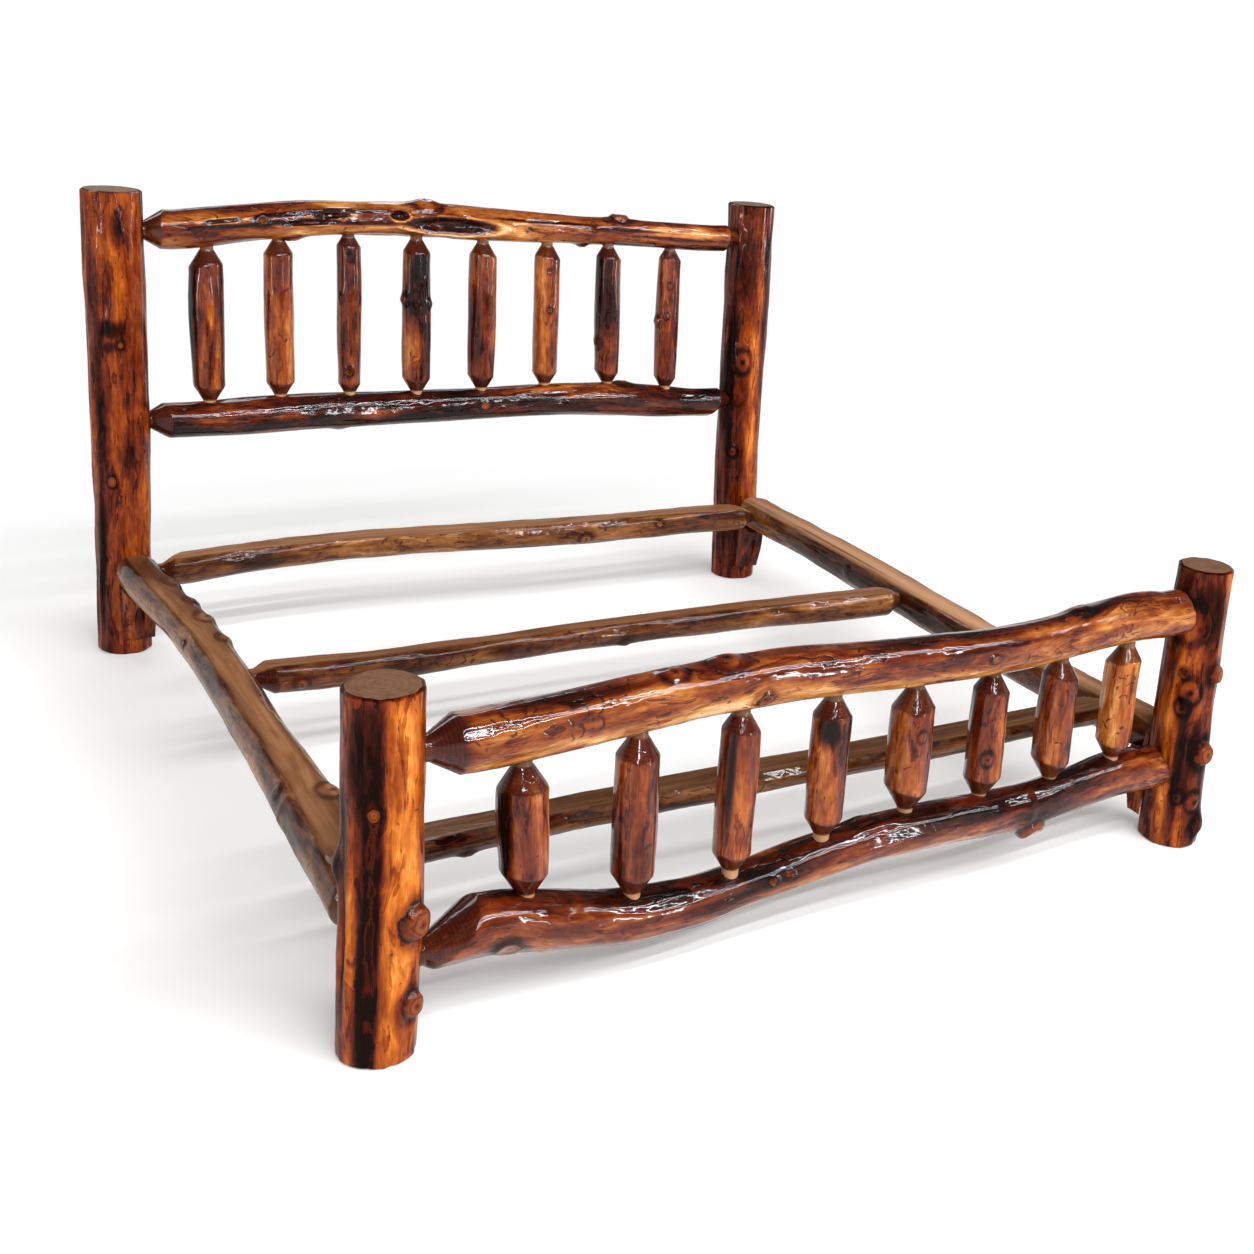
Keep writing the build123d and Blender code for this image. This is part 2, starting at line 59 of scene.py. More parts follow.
# %% Selecting, and colours
def select_only(piece):
    """Makes this piece the only selected and active one."""
    bpy.ops.object.select_all(action="DESELECT")
    piece.select_set(True)
    bpy.context.view_layer.objects.active = piece


def colour(code):
    """An sRGB hex colour, such as "#8a3f12", as linear red, green, blue and alpha."""
    channels = [int(code[i:i + 2], 16) / 255 for i in (1, 3, 5)]
    linear = [c / 12.92 if c <= 0.04045 else ((c + 0.055) / 1.055) ** 2.4 for c in channels]
    return (*linear, 1.0)


print("honey in linear light:", [round(v, 3) for v in colour("#c9802f")])

# %% [markdown]
# ## The camera
#
# A wide view from the foot's left corner, a little above the posts, tilted slightly to one
# side. The lens shift keeps the bed in the middle of the frame while the lens itself points
# right of it. The focal length is worked out from the picture's width in pixels.

# %% Place the camera
IMAGE = 1254                      # picture width and height, in pixels
FOCAL = 1587.26                   # focal length in pixels
LENS_CENTRE = (800, 580)          # where the lens points, in pixels from the top left
EYE = Vector((-1.8908, -3.5649, 1.8408))
AZIMUTH, PITCH, ROLL = radians(34.7774), radians(18.5591), radians(5.2225)
SENSOR = 36.0

forward = Vector((sin(AZIMUTH) * cos(PITCH), cos(AZIMUTH) * cos(PITCH), -sin(PITCH)))
level_right = Vector((cos(AZIMUTH), -sin(AZIMUTH), 0))
level_up = level_right.cross(forward)
right = level_right * cos(ROLL) + level_up * sin(ROLL)
up = level_up * cos(ROLL) - level_right * sin(ROLL)

camera = bpy.data.objects.new("camera", bpy.data.cameras.new("camera"))
bpy.context.scene.collection.objects.link(camera)
turn = Matrix((right, up, -forward)).transposed().to_4x4()
camera.matrix_world = Matrix.Translation(EYE) @ turn
camera.data.sensor_width = SENSOR
camera.data.lens = FOCAL / IMAGE * SENSOR
camera.data.shift_x = (IMAGE / 2 - LENS_CENTRE[0]) / IMAGE
camera.data.shift_y = -(IMAGE / 2 - LENS_CENTRE[1]) / IMAGE
camera.data.clip_end = 200
bpy.context.scene.camera = camera
bpy.context.scene.view_settings.view_transform = "Standard"
print("lens:", round(camera.data.lens, 2), "mm, shift:", round(camera.data.shift_x, 3))

# %% [markdown]
# ## One helper for shader nodes
#
# Every material is a small network of nodes. This function adds one node: its settings are
# keywords, and its inputs are given by name or number, as a value or as another node's output.

# %% Add a shader node
def add(tree, kind, inputs=None, **settings):
    """Adds one node to a tree, with its settings and its inputs, and gives it back."""
    node = tree.nodes.new(kind)
    for name, value in settings.items():
        setattr(node, name, value)
    for name, value in (inputs or {}).items():
        if isinstance(value, bpy.types.NodeSocket):
            tree.links.new(value, node.inputs[name])
        else:
            node.inputs[name].default_value = value
    return node


def ramp_colours(node, stops):
    """Gives a Color Ramp node its stops: a list of (place, hex colour)."""
    elements = node.color_ramp.elements
    while len(elements) > 1:
        elements.remove(elements[-1])
    elements[0].position = stops[0][0]
    elements[0].color = colour(stops[0][1])
    for place, code in stops[1:]:
        elements.new(place).color = colour(code)


def empty_tree(owner):
    """Turns on the nodes of a new material or world, and gives back its emptied tree."""
    owner.use_nodes = True
    owner.node_tree.nodes.clear()
    return owner.node_tree


print("node helpers: add, ramp_colours, empty_tree")

# %% [markdown]
# ## The floor
#
# The room is a white studio, and its floor is a plain white sweep that fades into the white
# wall all round. White paint alone would look grey, and it would need so much light that the
# bed would glare. So to the camera and in reflections, part of the floor's brightness is its
# own glow. It stays white and still takes the bed's soft shadow, and further off it is all
# glow.

# %% Lay the floor
FLOOR_SIZE = 120.0
FLOOR_PAINT = "#fdf9f2"
FLOOR_GLOW = 0.16                 # share of the floor's brightness that shadow can't darken
GLOW_STARTS, GLOW_ENDS = 1.5, 3.0  # metres from the middle, where the floor turns to all glow

bpy.ops.object.select_all(action="DESELECT")
bpy.ops.mesh.primitive_plane_add(size=FLOOR_SIZE, location=(0, 0, 0))
floor = bpy.context.object
floor.name = "floor"
white_floor = bpy.data.materials.new("white_studio_floor")
tree = empty_tree(white_floor)
path = add(tree, "ShaderNodeLightPath")
seen = path.outputs["Is Camera Ray"]
for ray in ("Is Glossy Ray", "Is Transmission Ray"):
    seen = add(tree, "ShaderNodeMath", {0: seen, 1: path.outputs[ray]},
               operation="MAXIMUM").outputs[0]
spot = add(tree, "ShaderNodeTexCoord")
off = add(tree, "ShaderNodeVectorMath", {0: spot.outputs["Object"]}, operation="LENGTH")
glow_share = add(tree, "ShaderNodeMapRange", {
    "Value": off.outputs["Value"], 1: GLOW_STARTS, 2: GLOW_ENDS, 3: FLOOR_GLOW, 4: 1.0},
    interpolation_type="SMOOTHSTEP")
paint = add(tree, "ShaderNodeBsdfDiffuse", {"Color": colour(FLOOR_PAINT)})
glow = add(tree, "ShaderNodeEmission", {"Color": colour("#ffffff"), "Strength": 1.0})
share = add(tree, "ShaderNodeMath", {0: seen, 1: glow_share.outputs[0]}, operation="MULTIPLY")
mixed = add(tree, "ShaderNodeMixShader", {
    0: share.outputs[0], 1: paint.outputs[0], 2: glow.outputs[0]})
add(tree, "ShaderNodeOutputMaterial", {"Surface": mixed.outputs[0]})
floor.data.materials.append(white_floor)
print("floor:", FLOOR_SIZE, "m wide")

# %% [markdown]
# ## The sky
#
# Gloss varnish shows whatever is round it. A white sky all over would veil the dark wood, so
# the room has a white wall up to eye level and a dim ceiling, and the varnish keeps its depth.

# %% Paint the room
WALL_TOP = 0.16                   # sine of the height up to which the wall is white
FADE = 2.5                        # the white has gone at this many times that height
CEILING = 0.12                    # brightness of the ceiling

sky = bpy.data.worlds.new("white_studio_sky")
bpy.context.scene.world = sky
tree = empty_tree(sky)
direction = add(tree, "ShaderNodeTexCoord")
height = add(tree, "ShaderNodeSeparateXYZ", {0: direction.outputs["Generated"]})
strength = add(tree, "ShaderNodeMapRange", {
    "Value": height.outputs["Z"], 1: WALL_TOP, 2: FADE * WALL_TOP, 3: 1.0, 4: CEILING},
    interpolation_type="SMOOTHSTEP")
white = add(tree, "ShaderNodeBackground", {
    "Color": colour("#ffffff"), "Strength": strength.outputs[0]})
add(tree, "ShaderNodeOutputWorld", {"Surface": white.outputs[0]})
print("wall white up to", round(WALL_TOP, 2), "and gone at", round(FADE * WALL_TOP, 2))

# %% [markdown]
# ## The lamps
#
# In a dark glossy surface, a lamp shows as a bright shape of its own. A large lamp would show
# as a grey sheet, so these are long thin tubes. Three hang high in front of the foot, and run
# across the bed, so every rail gets clear bands along it. Narrow upright ones round the bed
# draw lines down the posts and spindles, and a box behind lights the far side. None of them
# shows to the camera.

# %% Hang the lamps
COOL_WHITE, DAYLIGHT = "#f6f9ff", "#f2f7ff"


def soft_box(name, place, target, size, brightness, tint):
    """A rectangular lamp at a place, pointed at a target, as bright all over as brightness."""
    lamp = bpy.data.lights.new(name, "AREA")
    lamp.shape = "RECTANGLE"
    lamp.size, lamp.size_y = size
    lamp.energy = brightness * pi * size[0] * size[1]
    lamp.color = colour(tint)[:3]
    holder = bpy.data.objects.new(name, lamp)
    holder.location = place
    holder.visible_camera = False
    holder.rotation_euler = (Vector(target) - Vector(place)).to_track_quat("-Z", "Y").to_euler()
    bpy.context.scene.collection.objects.link(holder)


for number, (y, z) in enumerate(((-6.4, 9.1), (-7.7, 8.2), (-8.9, 7.0)), start=1):
    soft_box(f"overhead_tube_{number}", (2.0, y, z), (1.5, 0.0, 0.5), (15.0, 0.22), 68, DAYLIGHT)
soft_box("back_box", (-0.6, 3.8, 3.8), (0.0, 0.4, 0.4), (5.0, 0.9), 5.0, COOL_WHITE)
soft_box("left_tube", (-5.4, -1.2, 1.3), (-0.2, 0.0, 1.0), (0.11, 2.4), 60, COOL_WHITE)
soft_box("front_tube", (2.6, -5.8, 1.4), (0.0, 1.0, 0.95), (0.12, 2.7), 46, COOL_WHITE)
soft_box("right_tube", (5.2, -1.2, 1.3), (0.4, -0.4, 0.9), (0.13, 2.4), 50, COOL_WHITE)

# %% [markdown]
# ## Reading a log from the frame
#
# A CAD log is smooth and round. Circles laid through its cross-sections give its centre line
# and its radius at any place along it, and the detailed log is built round those. A knot
# stub bulges out of some sections, so points far from the first circle are dropped and the
# circle is laid again. Points on a sawn flat are left out too.

# %% Measure a log
PLATFORM = 0.305                  # height of the sawn flats
STATION_SPACING = 0.02            # between the sections that are measured
FITTING_ROUNDS = 4                # times that stray points are dropped and the circle laid again
SURE_MISS = 0.0006                # a point this near the circle is never dropped
ACROSS = {0: (1, 2), 1: (0, 2), 2: (0, 1)}   # the two axes across a log that runs along x, y or z


def edge_ends(node):
    """Both ends of every edge of a CAD node, as two arrays of points."""
    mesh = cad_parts[node].data
    points = np.empty(len(mesh.vertices) * 3)
    mesh.vertices.foreach_get("co", points)
    edges = np.empty(len(mesh.edges) * 2, dtype=int)
    mesh.edges.foreach_get("vertices", edges)
    points, edges = points.reshape(-1, 3), edges.reshape(-1, 2)
    return points[edges[:, 0]], points[edges[:, 1]]


def fit_circle(u, v):
    """Centre and radius of the circle nearest to some points; stray points are dropped."""
    keep = np.ones(len(u), bool)
    for _ in range(FITTING_ROUNDS):
        rows = np.column_stack((2 * u[keep], 2 * v[keep], np.ones(keep.sum())))
        (a, b, c), *_ = np.linalg.lstsq(rows, u[keep] ** 2 + v[keep] ** 2, rcond=None)
        radius = np.sqrt(c + a * a + b * b)
        miss = np.abs(np.hypot(u - a, v - b) - radius)
        keep = miss <= max(SURE_MISS, 1.5 * np.median(miss[keep]))
    return a, b, radius


def measure_log(node, axis, flat=False):
    """Stations along a log, with the circle that fits its section at each."""
    one, two = edge_ends(node)
    low, high = one[:, axis].min(), one[:, axis].max()
    stations = np.linspace(low + 0.001, high - 0.001, int((high - low) / STATION_SPACING))
    u_axis, v_axis = ACROSS[axis]
    circles = []
    for s in stations:
        crossing = (one[:, axis] - s) * (two[:, axis] - s) < 0
        a, b = one[crossing], two[crossing]
        t = ((s - a[:, axis]) / (b[:, axis] - a[:, axis]))[:, None]
        points = a + (b - a) * t
        if flat:
            points = points[points[:, 2] < PLATFORM - 0.0005]
        circles.append(fit_circle(points[:, u_axis], points[:, v_axis]))
    return {"axis": axis, "low": low, "high": high, "at": stations, "circles": np.array(circles)}


sample = measure_log("footboard_top_rail", 0)
print("footboard top rail, girth radius in mm:", (sample["circles"][::20, 2] * 1000).round(1))

# %% [markdown]
# ## Nature's unevenness
#
# Bumps need smooth, repeatable noise. A few sine waves in random directions, added up, give
# soft hills of a chosen size, and the same seed gives the same hills every time. A log's
# own points are used (round the log and along it, in metres), so the hills close without
# a seam, and they can be stretched along the log as wood is.

# %% Soft random hills
def hills(points, across, along, seed, waves=16):
    """Smooth noise of about -1 to 1; across and along are the sizes of its hills in metres."""
    rng = np.random.default_rng(seed)
    directions = rng.normal(size=(waves, 3))
    directions /= np.linalg.norm(directions, axis=1)[:, None]
    directions *= rng.uniform(0.6, 1.5, waves)[:, None]
    phases = rng.uniform(0, 2 * pi, waves)
    scaled = points / np.array((across, across, along)) * pi
    return np.sin(scaled @ directions.T + phases).sum(axis=1) * np.sqrt(1.6 / waves) * 0.8


def rise(value, start, end):
    """0 below start, 1 above end, and a smooth slope between."""
    t = np.clip((value - start) / (end - start), 0, 1)
    return t * t * (3 - 2 * t)


print("hills:", hills(np.array([[0, 0, 0], [0.05, 0, 0.2]]), 0.05, 0.2, 1).round(2))

# %% [markdown]
# ## Rolling a log
#
# A log is modelled as a flat grid that is rolled into a tube: one row of the grid is one ring
# round the log. Each point knows how far along and how far round it is, so its distance
# from the centre line can be anything: the log's girth and its bumps, but never more than
# the tenon cutter's cone at the ends, nor above the saw's flat. Where the cone meets the
# bumpy body, the shoulder comes out wavy by itself, as on the real ones. The edges of the
# grid are then welded.

# %% Roll a grid into a log
CUTTER_SLOPE = tan(radians(31))   # the tenon cutter's cone: rise per metre along the log
POINT_SPACING = 0.0042            # between points on a log's skin


def rolled_grid(name, around, rings):
    """A flat grid of points with its seam on two opposite edges, ready to be rolled."""
    bpy.ops.object.select_all(action="DESELECT")
    bpy.ops.mesh.primitive_grid_add(x_subdivisions=around, y_subdivisions=rings - 1, size=1)
    piece = bpy.context.object
    piece.name = piece.data.name = name
    flat = np.empty(len(piece.data.vertices) * 3)
    piece.data.vertices.foreach_get("co", flat)
    flat = flat.reshape(-1, 3)
    ring = np.rint((flat[:, 1] + 0.5) * (rings - 1)).astype(int)
    return piece, ring, (flat[:, 0] + 0.5) * 2 * pi


def turned_from(theta, angle):
    """How far round the log from an angle in degrees, as -pi to pi."""
    return (theta - radians(angle) + pi) % (2 * pi) - pi


def store(piece, name, values):
    """Keeps a number or a vector for every point of a piece, for its material to read."""
    kind = "FLOAT_VECTOR" if values.ndim == 2 else "FLOAT"
    layer = piece.data.attributes.new(name, kind, "POINT")
    layer.data.foreach_set("vector" if values.ndim == 2 else "value",
                           values.astype(np.float32).ravel())


def weld(piece):
    """Joins the rolled seam and the two poles, and turns all faces outwards."""
    select_only(piece)
    bpy.ops.object.mode_set(mode="EDIT")
    bpy.ops.mesh.select_all(action="SELECT")
    bpy.ops.mesh.remove_doubles(threshold=0.00002)
    bpy.ops.mesh.dissolve_degenerate(threshold=0.00001)
    bpy.ops.mesh.normals_make_consistent(inside=False)
    bpy.ops.object.mode_set(mode="OBJECT")
    bpy.ops.object.shade_smooth_by_angle(angle=radians(38))


# %% [markdown]
# ## Knots
#
# A branch leaves a knot. A **stub** is a branch sawn off proud of the log, a **bump** has healed
# over into a lump with a dimple, an **eye** lies flush in a low ring of raised grain, and a
# **hole** has rotted out. A **wound** is a long hollow with rolled lips where bark was torn off,
# and a **ridge** is a rounded rib of wood. Each is given by its place along its log in
# metres, its angle round the log in degrees, its radius and its height in millimetres, and
# what it is. A sixth number says how many times longer than wide it is, 1.25 where left out.
# Modelling each by hand on a log of 30,000 points would be slow, and a sum of soft bells does
# it in a few lines. Their distances are in knot radii. A knot also stains the wood round it,
# and the grain swirls past it. A wound's hollow is darkened as painted shade, and its rolled
# lips are lightened as painted highlight.

# %% Shape a knot
KNOT_STRETCH = 1.25               # how many times longer than wide a plain knot is
SWIRL = 0.55                      # how strongly the grain bends round a knot
FAR_AWAY = 9.0                    # more knot radii, or metres, than ever count


def knot_height(distance, kind, height):
    """How far the skin stands out at a distance from a knot's middle, in knot radii."""
    swell = 0.22 * np.exp(-((distance / 1.7) ** 2))
    if kind == "stub":
        return height * (swell + 0.78 * (1 - rise(distance, 0.55, 0.95)))
    if kind == "bump":
        dimple = 0.35 * np.exp(-((distance / 0.28) ** 2))
        return height * (np.exp(-((distance / 0.85) ** 2)) - dimple + swell)
    if kind == "eye":
        ring = np.exp(-(((distance - 0.8) / 0.25) ** 2))
        return height * (0.8 * ring + swell)
    if kind == "ridge":
        return height * np.exp(-((distance / 0.6) ** 2))
    if kind == "wound":
        lips = np.exp(-(((distance - 1.08) / 0.16) ** 2))
        return height * (0.3 * lips - 1 + rise(distance, 0.35, 0.98))
    rim, pit = np.exp(-(((distance - 1.0) / 0.3) ** 2)), 1 - rise(distance, 0.25, 0.8)
    return height * (swell + 0.5 * rim - 3.0 * pit)


def around_knots(knots, s, theta, radius):
    """For every point: knots' height, distance to the nearest, the grain's turn, and tone."""
    total, swirl, tone = np.zeros(len(s)), np.zeros(len(s)), np.zeros(len(s))
    nearest = np.full(len(s), FAR_AWAY)
    for at, angle, size, height, kind, *longer in knots:
        size, height = size / 1000, height / 1000
        off = turned_from(theta, angle)
        across, along = off * radius, (s - at) / (longer[0] if longer else KNOT_STRETCH)
        distance = np.hypot(across, along) / size
        total += knot_height(distance, kind, height)
        if kind == "wound":
            # Painted shade in the wound's hollow, and a painted highlight along its rolled lips.
            tone -= 1.4 * (1 - rise(distance, 0.65, 1.0))
            tone += 0.35 * np.exp(-(((distance - 1.12) / 0.12) ** 2))
        elif kind == "bump":
            tone += (0.10 * np.exp(-((distance / 0.5) ** 2))
                     - 0.55 * np.exp(-((distance / 0.2) ** 2)))
            tone -= 0.35 * np.exp(-(((distance - 1.05) / 0.3) ** 2))
            swirl -= SWIRL * off * np.exp(-((distance / 1.8) ** 2))
        elif kind != "ridge":
            nearest = np.minimum(nearest, distance)
            tone -= 0.28 * np.exp(-(((distance - 1.05) / 0.4) ** 2))
            swirl -= SWIRL * off * np.exp(-((distance / 2.0) ** 2))
    return total, nearest, swirl, tone


print("a 10 mm bump, at 0, 1 and 2 radii:", knot_height(np.arange(3.0), "bump", 10).round(1))


# %% [markdown]
# ## From plain log to real log
#
# `grow_log` puts it all together for one log. Lobes make it out of round, ridges run along it,
# the draw-knife that peeled it leaves shallow facets, and knots swell out. Then the ends are
# cut. What the material needs is stored on the points: a straightened place in the log
# (**grain**), how dark or light the wood is, with some painted shade and highlight in it
# (**tone**), how near a knot is (**eye**), how likely crescents are (**scraped**), and masks for
# turned, sawn and bare tenon surfaces.

# %% Grow one log
LOBES = ((0.075, 0.45, 1.0, 0), (0.045, 0.11, 0.45, 1),   # size across and along in metres,
         (0.17, 0.5, 0.7, 4))                             # share, and number of the seed
RIDGES, FACETS = (0.014, 0.16), (0.011, 0.035)            # sizes across and along in metres
FACET_HEIGHT = 0.0003
PAST_CONE, PAST_SAW = 0.018, 0.01        # the CAD log's own round skin starts this far in
CAP = (0.96, 0.8, 0.6, 0.4, 0.2, 0.0)    # rings on a sawn end, as shares of its radius
TENON_CAP = (0.5, 0.0)                   # and on a tenon's end
TENON_RIM, RIM_WIDTH = 0.95, 0.001       # a tenon's end is this narrow, and this far eased
GRAIN_STEP = 3.7                         # metres between two logs' places in the patterns
NO_KNOT = 3                              # knot radii at which a knot no longer shows


def grow_log(name, axis, ends, knots=(), marks=(), scraped=(), flat=False, lobes=0.03,
             ridges=0.0011, seed=0, pale_tenons=(0.0, 0.0), shade=0.0, blunt=1.0):
    """Builds the detailed log for a CAD node.

    ends is ("tenon", radius, depth) or ("sawn", rim). marks are dark or light stains, a few of
    them painted shade, and scraped are places with crescents: each has its place along the log
    in metres, its angle in degrees, its length and width in millimetres, and its strength. shade is
    added to the tone all over, and blunt says how many times steeper the cone at the far end is.
    """
    log = measure_log(name, axis, flat)
    at, (centre_u, centre_v, radii) = log["at"], log["circles"].T
    low, high = log["low"], log["high"]
    tip_low, tip_high, cut = low, high, 0.0
    if ends[0] == "tenon":
        tip_low, tip_high, cut = low + ends[2], high - ends[2], ends[1]
    girth = np.median(radii)
    clear = (girth - cut) / CUTTER_SLOPE + PAST_CONE if cut else PAST_SAW
    body = (at > tip_low + clear) & (at < tip_high - clear)

    # Where the rings go, and how far each has shrunk towards its middle on the end faces.
    count = int((tip_high - tip_low) / POINT_SPACING)
    along = list(np.linspace(tip_low, tip_high, count))
    shrink = [1.0] * count
    cap = CAP
    if ends[0] == "tenon":
        along = [low, low + RIM_WIDTH] + along + [high - RIM_WIDTH, high]
        shrink = [TENON_RIM, 1.0] + shrink + [1.0, TENON_RIM]
        cap = TENON_CAP
    along = np.array([along[0]] * len(cap) + along + [along[-1]] * len(cap))
    shrink = np.array(list(cap[::-1]) + shrink + list(cap))
    around = int(2 * pi * girth / POINT_SPACING / 2) * 2
    piece, ring, theta = rolled_grid(name + "_log", around, len(along))
    s, inward = along[ring], shrink[ring]

    # The skin: girth, lobes, ridges, facets and knots.
    cu, cv = np.interp(s, at[body], centre_u[body]), np.interp(s, at[body], centre_v[body])
    radius = np.interp(s, at[body], radii[body])
    skin = np.column_stack((np.cos(theta) * girth, np.sin(theta) * girth, s))
    knot_rise, eye, swirl, tone = around_knots(knots, s, theta, girth)
    radius *= 1 + lobes * sum(share * hills(skin, wide, long, seed + number)
                              for wide, long, share, number in LOBES)
    radius += (ridges * hills(skin, *RIDGES, seed + 2)
               + FACET_HEIGHT * np.abs(hills(skin, *FACETS, seed + 3)))
    radius += knot_rise
    scrapes = np.zeros(len(s))
    for spots, layer in ((marks, tone), (scraped, scrapes)):
        for place, angle, length, width, amount in spots:
            off = turned_from(theta, angle)
            reach = ((s - place) / length * 1000) ** 2 + (off * girth / width * 1000) ** 2
            layer += amount * np.exp(-(reach ** 2))

    # The saw: ends with an eased rim, or a flat along the top.
    turned, bare, sawn = np.zeros(len(s)), np.zeros(len(s)), np.zeros(len(s))
    if ends[0] == "sawn":
        inside, rim = np.minimum(s - low, high - s), ends[1]
        easing = rim - np.sqrt(np.clip(rim ** 2 - (rim - np.clip(inside, 0, rim)) ** 2, 0, None))
        radius = radius - easing
        sawn = np.where(inward < 0.97, 1.0, 0.0)
        tone = (tone - 0.35 * rise(easing, 0.0, rim * 0.3)) * (1 - sawn)
    if flat:
        lift = np.sin(theta)
        saw = np.where(lift > 0.05, (PLATFORM - cv) / np.clip(lift, 0.05, None), FAR_AWAY)
        sawn = rise(radius - saw, -0.0004, 0.0008)
        tone -= 0.34 * sawn * np.exp(-(((radius - saw) / 0.0022) ** 2))
        radius = np.minimum(radius, saw)
    u, v = cu + np.cos(theta) * radius * inward, cv + np.sin(theta) * radius * inward
    pull = np.ones(len(s))

    # The tenon cutter: it turns about the straight line between the two tenons' middles.
    if ends[0] == "tenon":
        tips = (at < low + 0.02), (at > high - 0.02)
        axis_u = np.interp(s, (tip_low, tip_high), [np.median(centre_u[tip]) for tip in tips])
        axis_v = np.interp(s, (tip_low, tip_high), [np.median(centre_v[tip]) for tip in tips])
        inside = np.minimum(s - tip_low, tip_high - s)
        steepness = CUTTER_SLOPE * np.where(s < (low + high) / 2, 1.0, blunt)
        cone = cut + np.clip(inside, 0, None) * steepness
        off_axis = np.hypot(u - axis_u, v - axis_v)
        turned = 1 - rise(cone - off_axis, -0.0015, 0.0015)
        paleness = np.where(s < (low + high) / 2, *pale_tenons)
        bare = paleness * (1 - rise(inside, 0.0015, 0.005))
        pull = np.minimum(cone / np.clip(off_axis, 1e-6, None), 1.0)
        u, v = axis_u + (u - axis_u) * pull, axis_v + (v - axis_v) * pull
        neck = inside < 0
        u = np.where(neck, axis_u + np.cos(theta) * cut * inward, u)
        v = np.where(neck, axis_v + np.sin(theta) * cut * inward, v)

    place = np.empty((len(s), 3))
    place[:, axis], place[:, ACROSS[axis][0]], place[:, ACROSS[axis][1]] = s, u, v
    piece.data.vertices.foreach_set("co", place.ravel())
    grain_angle = theta + swirl
    reach = radius * inward * pull
    grain = (np.cos(grain_angle) * reach, np.sin(grain_angle) * reach, s + GRAIN_STEP * seed)
    for mask, values in (("grain", np.column_stack(grain)), ("tone", tone + shade),
                         ("scraped", scrapes), ("eye", np.clip(eye, 0, NO_KNOT)),
                         ("turned", turned), ("bare", bare), ("sawn", sawn)):
        store(piece, mask, values)
    weld(piece)
    return piece


def dress(piece, material, node):
    """Gives a finished piece its material and tells the frame what it stands for."""
    piece.data.materials.append(material)
    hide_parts(node)
    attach(piece, "root")


print("about", round(2 * pi * 0.07 / POINT_SPACING), "points round a 140 mm log")

# %% [markdown]
# ## Patterns in the wood
#
# A peeled log's colour varies at several sizes at once: broad streaks, soft clouds, mottle and
# fine fibres, all longer along the log than across it. A picture could be wrapped round each
# log, but every log would need its own, without a seam. A noise in the stored **grain** place
# needs none: it follows the log's bends and swirls round its knots. That place is in metres,
# so a noise of scale 40 has hills of 1000 / 40 = 25 mm, and squeezing the direction along the
# log by 0.22 makes them 25 / 0.22 = 115 mm long. The table gives each pattern's numbers and
# the size that comes of them. Fibres in pine are finer than 2.5 mm, but those wouldn't show.

# %% Lay the patterns out
PATTERNS = {                      # squeeze along the log, scale, detail, roughness, distortion
    "streaks": (0.14, 12.0, 3.0, 0.5, 0.0),       # 80 by 600 mm
    "clouds": (0.22, 28.0, 2.0, 0.45, 0.6),       # 35 by 160 mm
    "mottle": (0.38, 85.0, 1.0, 0.5, 0.6),        # 12 by 30 mm
    "fibres": (0.05, 400.0, 2.0, 0.5, 0.0),       # 2.5 by 50 mm
    "flakes": (0.22, 40.0, 3.0, 0.5, 0.5),        # 25 by 115 mm
    "bark": (0.34, 23.0, 7.0, 0.62, 0.5),         # 45 by 130 mm
    "flecks": (0.22, 170.0, 2.0, 0.5, 0.0),       # 6 by 27 mm
    "saw_lines": (0.045, 110.0, 3.0, 0.5, 0.5),   # 9 by 200 mm
    "wander": (1.0, 45.0, 2.0, 0.5, 0.0),         # 22 mm, bends the crescents
    "chance": (1.0, 22.0, 2.0, 0.5, 0.0),         # 45 mm, says where crescents are
    "waver": (1.0, 75.0, 2.0, 0.5, 0.0),          # 13 mm, makes the knots' rings uneven
}


def lay_patterns(tree, grain):
    """Adds the noise of every pattern to a material, and gives the nodes by name."""
    patterns = {}
    for name, (squeeze, scale, detail, roughness, distortion) in PATTERNS.items():
        place = add(tree, "ShaderNodeVectorMath", {0: grain, 1: (1, 1, squeeze)},
                    operation="MULTIPLY")
        patterns[name] = add(tree, "ShaderNodeTexNoise", {
            "Vector": place.outputs[0], "Scale": scale, "Detail": detail,
            "Roughness": roughness, "Distortion": distortion})
    return patterns


print("patterns:", list(PATTERNS))

# %% [markdown]
# ## Crescents
#
# Where the peeling spud bites, it leaves small dark crescents. Drawing each by hand would take
# hundreds of points. A Voronoi texture scatters cells, and a line at one distance from a
# cell's middle is a ring. Kept only on the side towards one end of the log, it is a crescent.
# Bending the place with a noise first makes each one different.

# %% Draw the crescents
CRESCENT_CELLS = 34.0             # cells per metre: one is about 30 mm across
CRESCENT_RADIUS = 0.46            # of the ring, in cells: 14 mm
CRESCENT_LINE = (0.095, 0.045)    # the ring fades in between these, in cells: 3 to 1.3 mm
CRESCENT_OPENING = (-0.004, 0.002)   # metres past the cell's middle where the ring starts
BENDING = (0.016, 0.016, 0.016)   # metres by which a noise bends the place
MARKED_PULL = 0.22                # how much likelier crescents are where a log is scraped
CRESCENT_FADE = 0.04              # of the noise, over which they fade in
CRESCENT_STRENGTH = 0.85


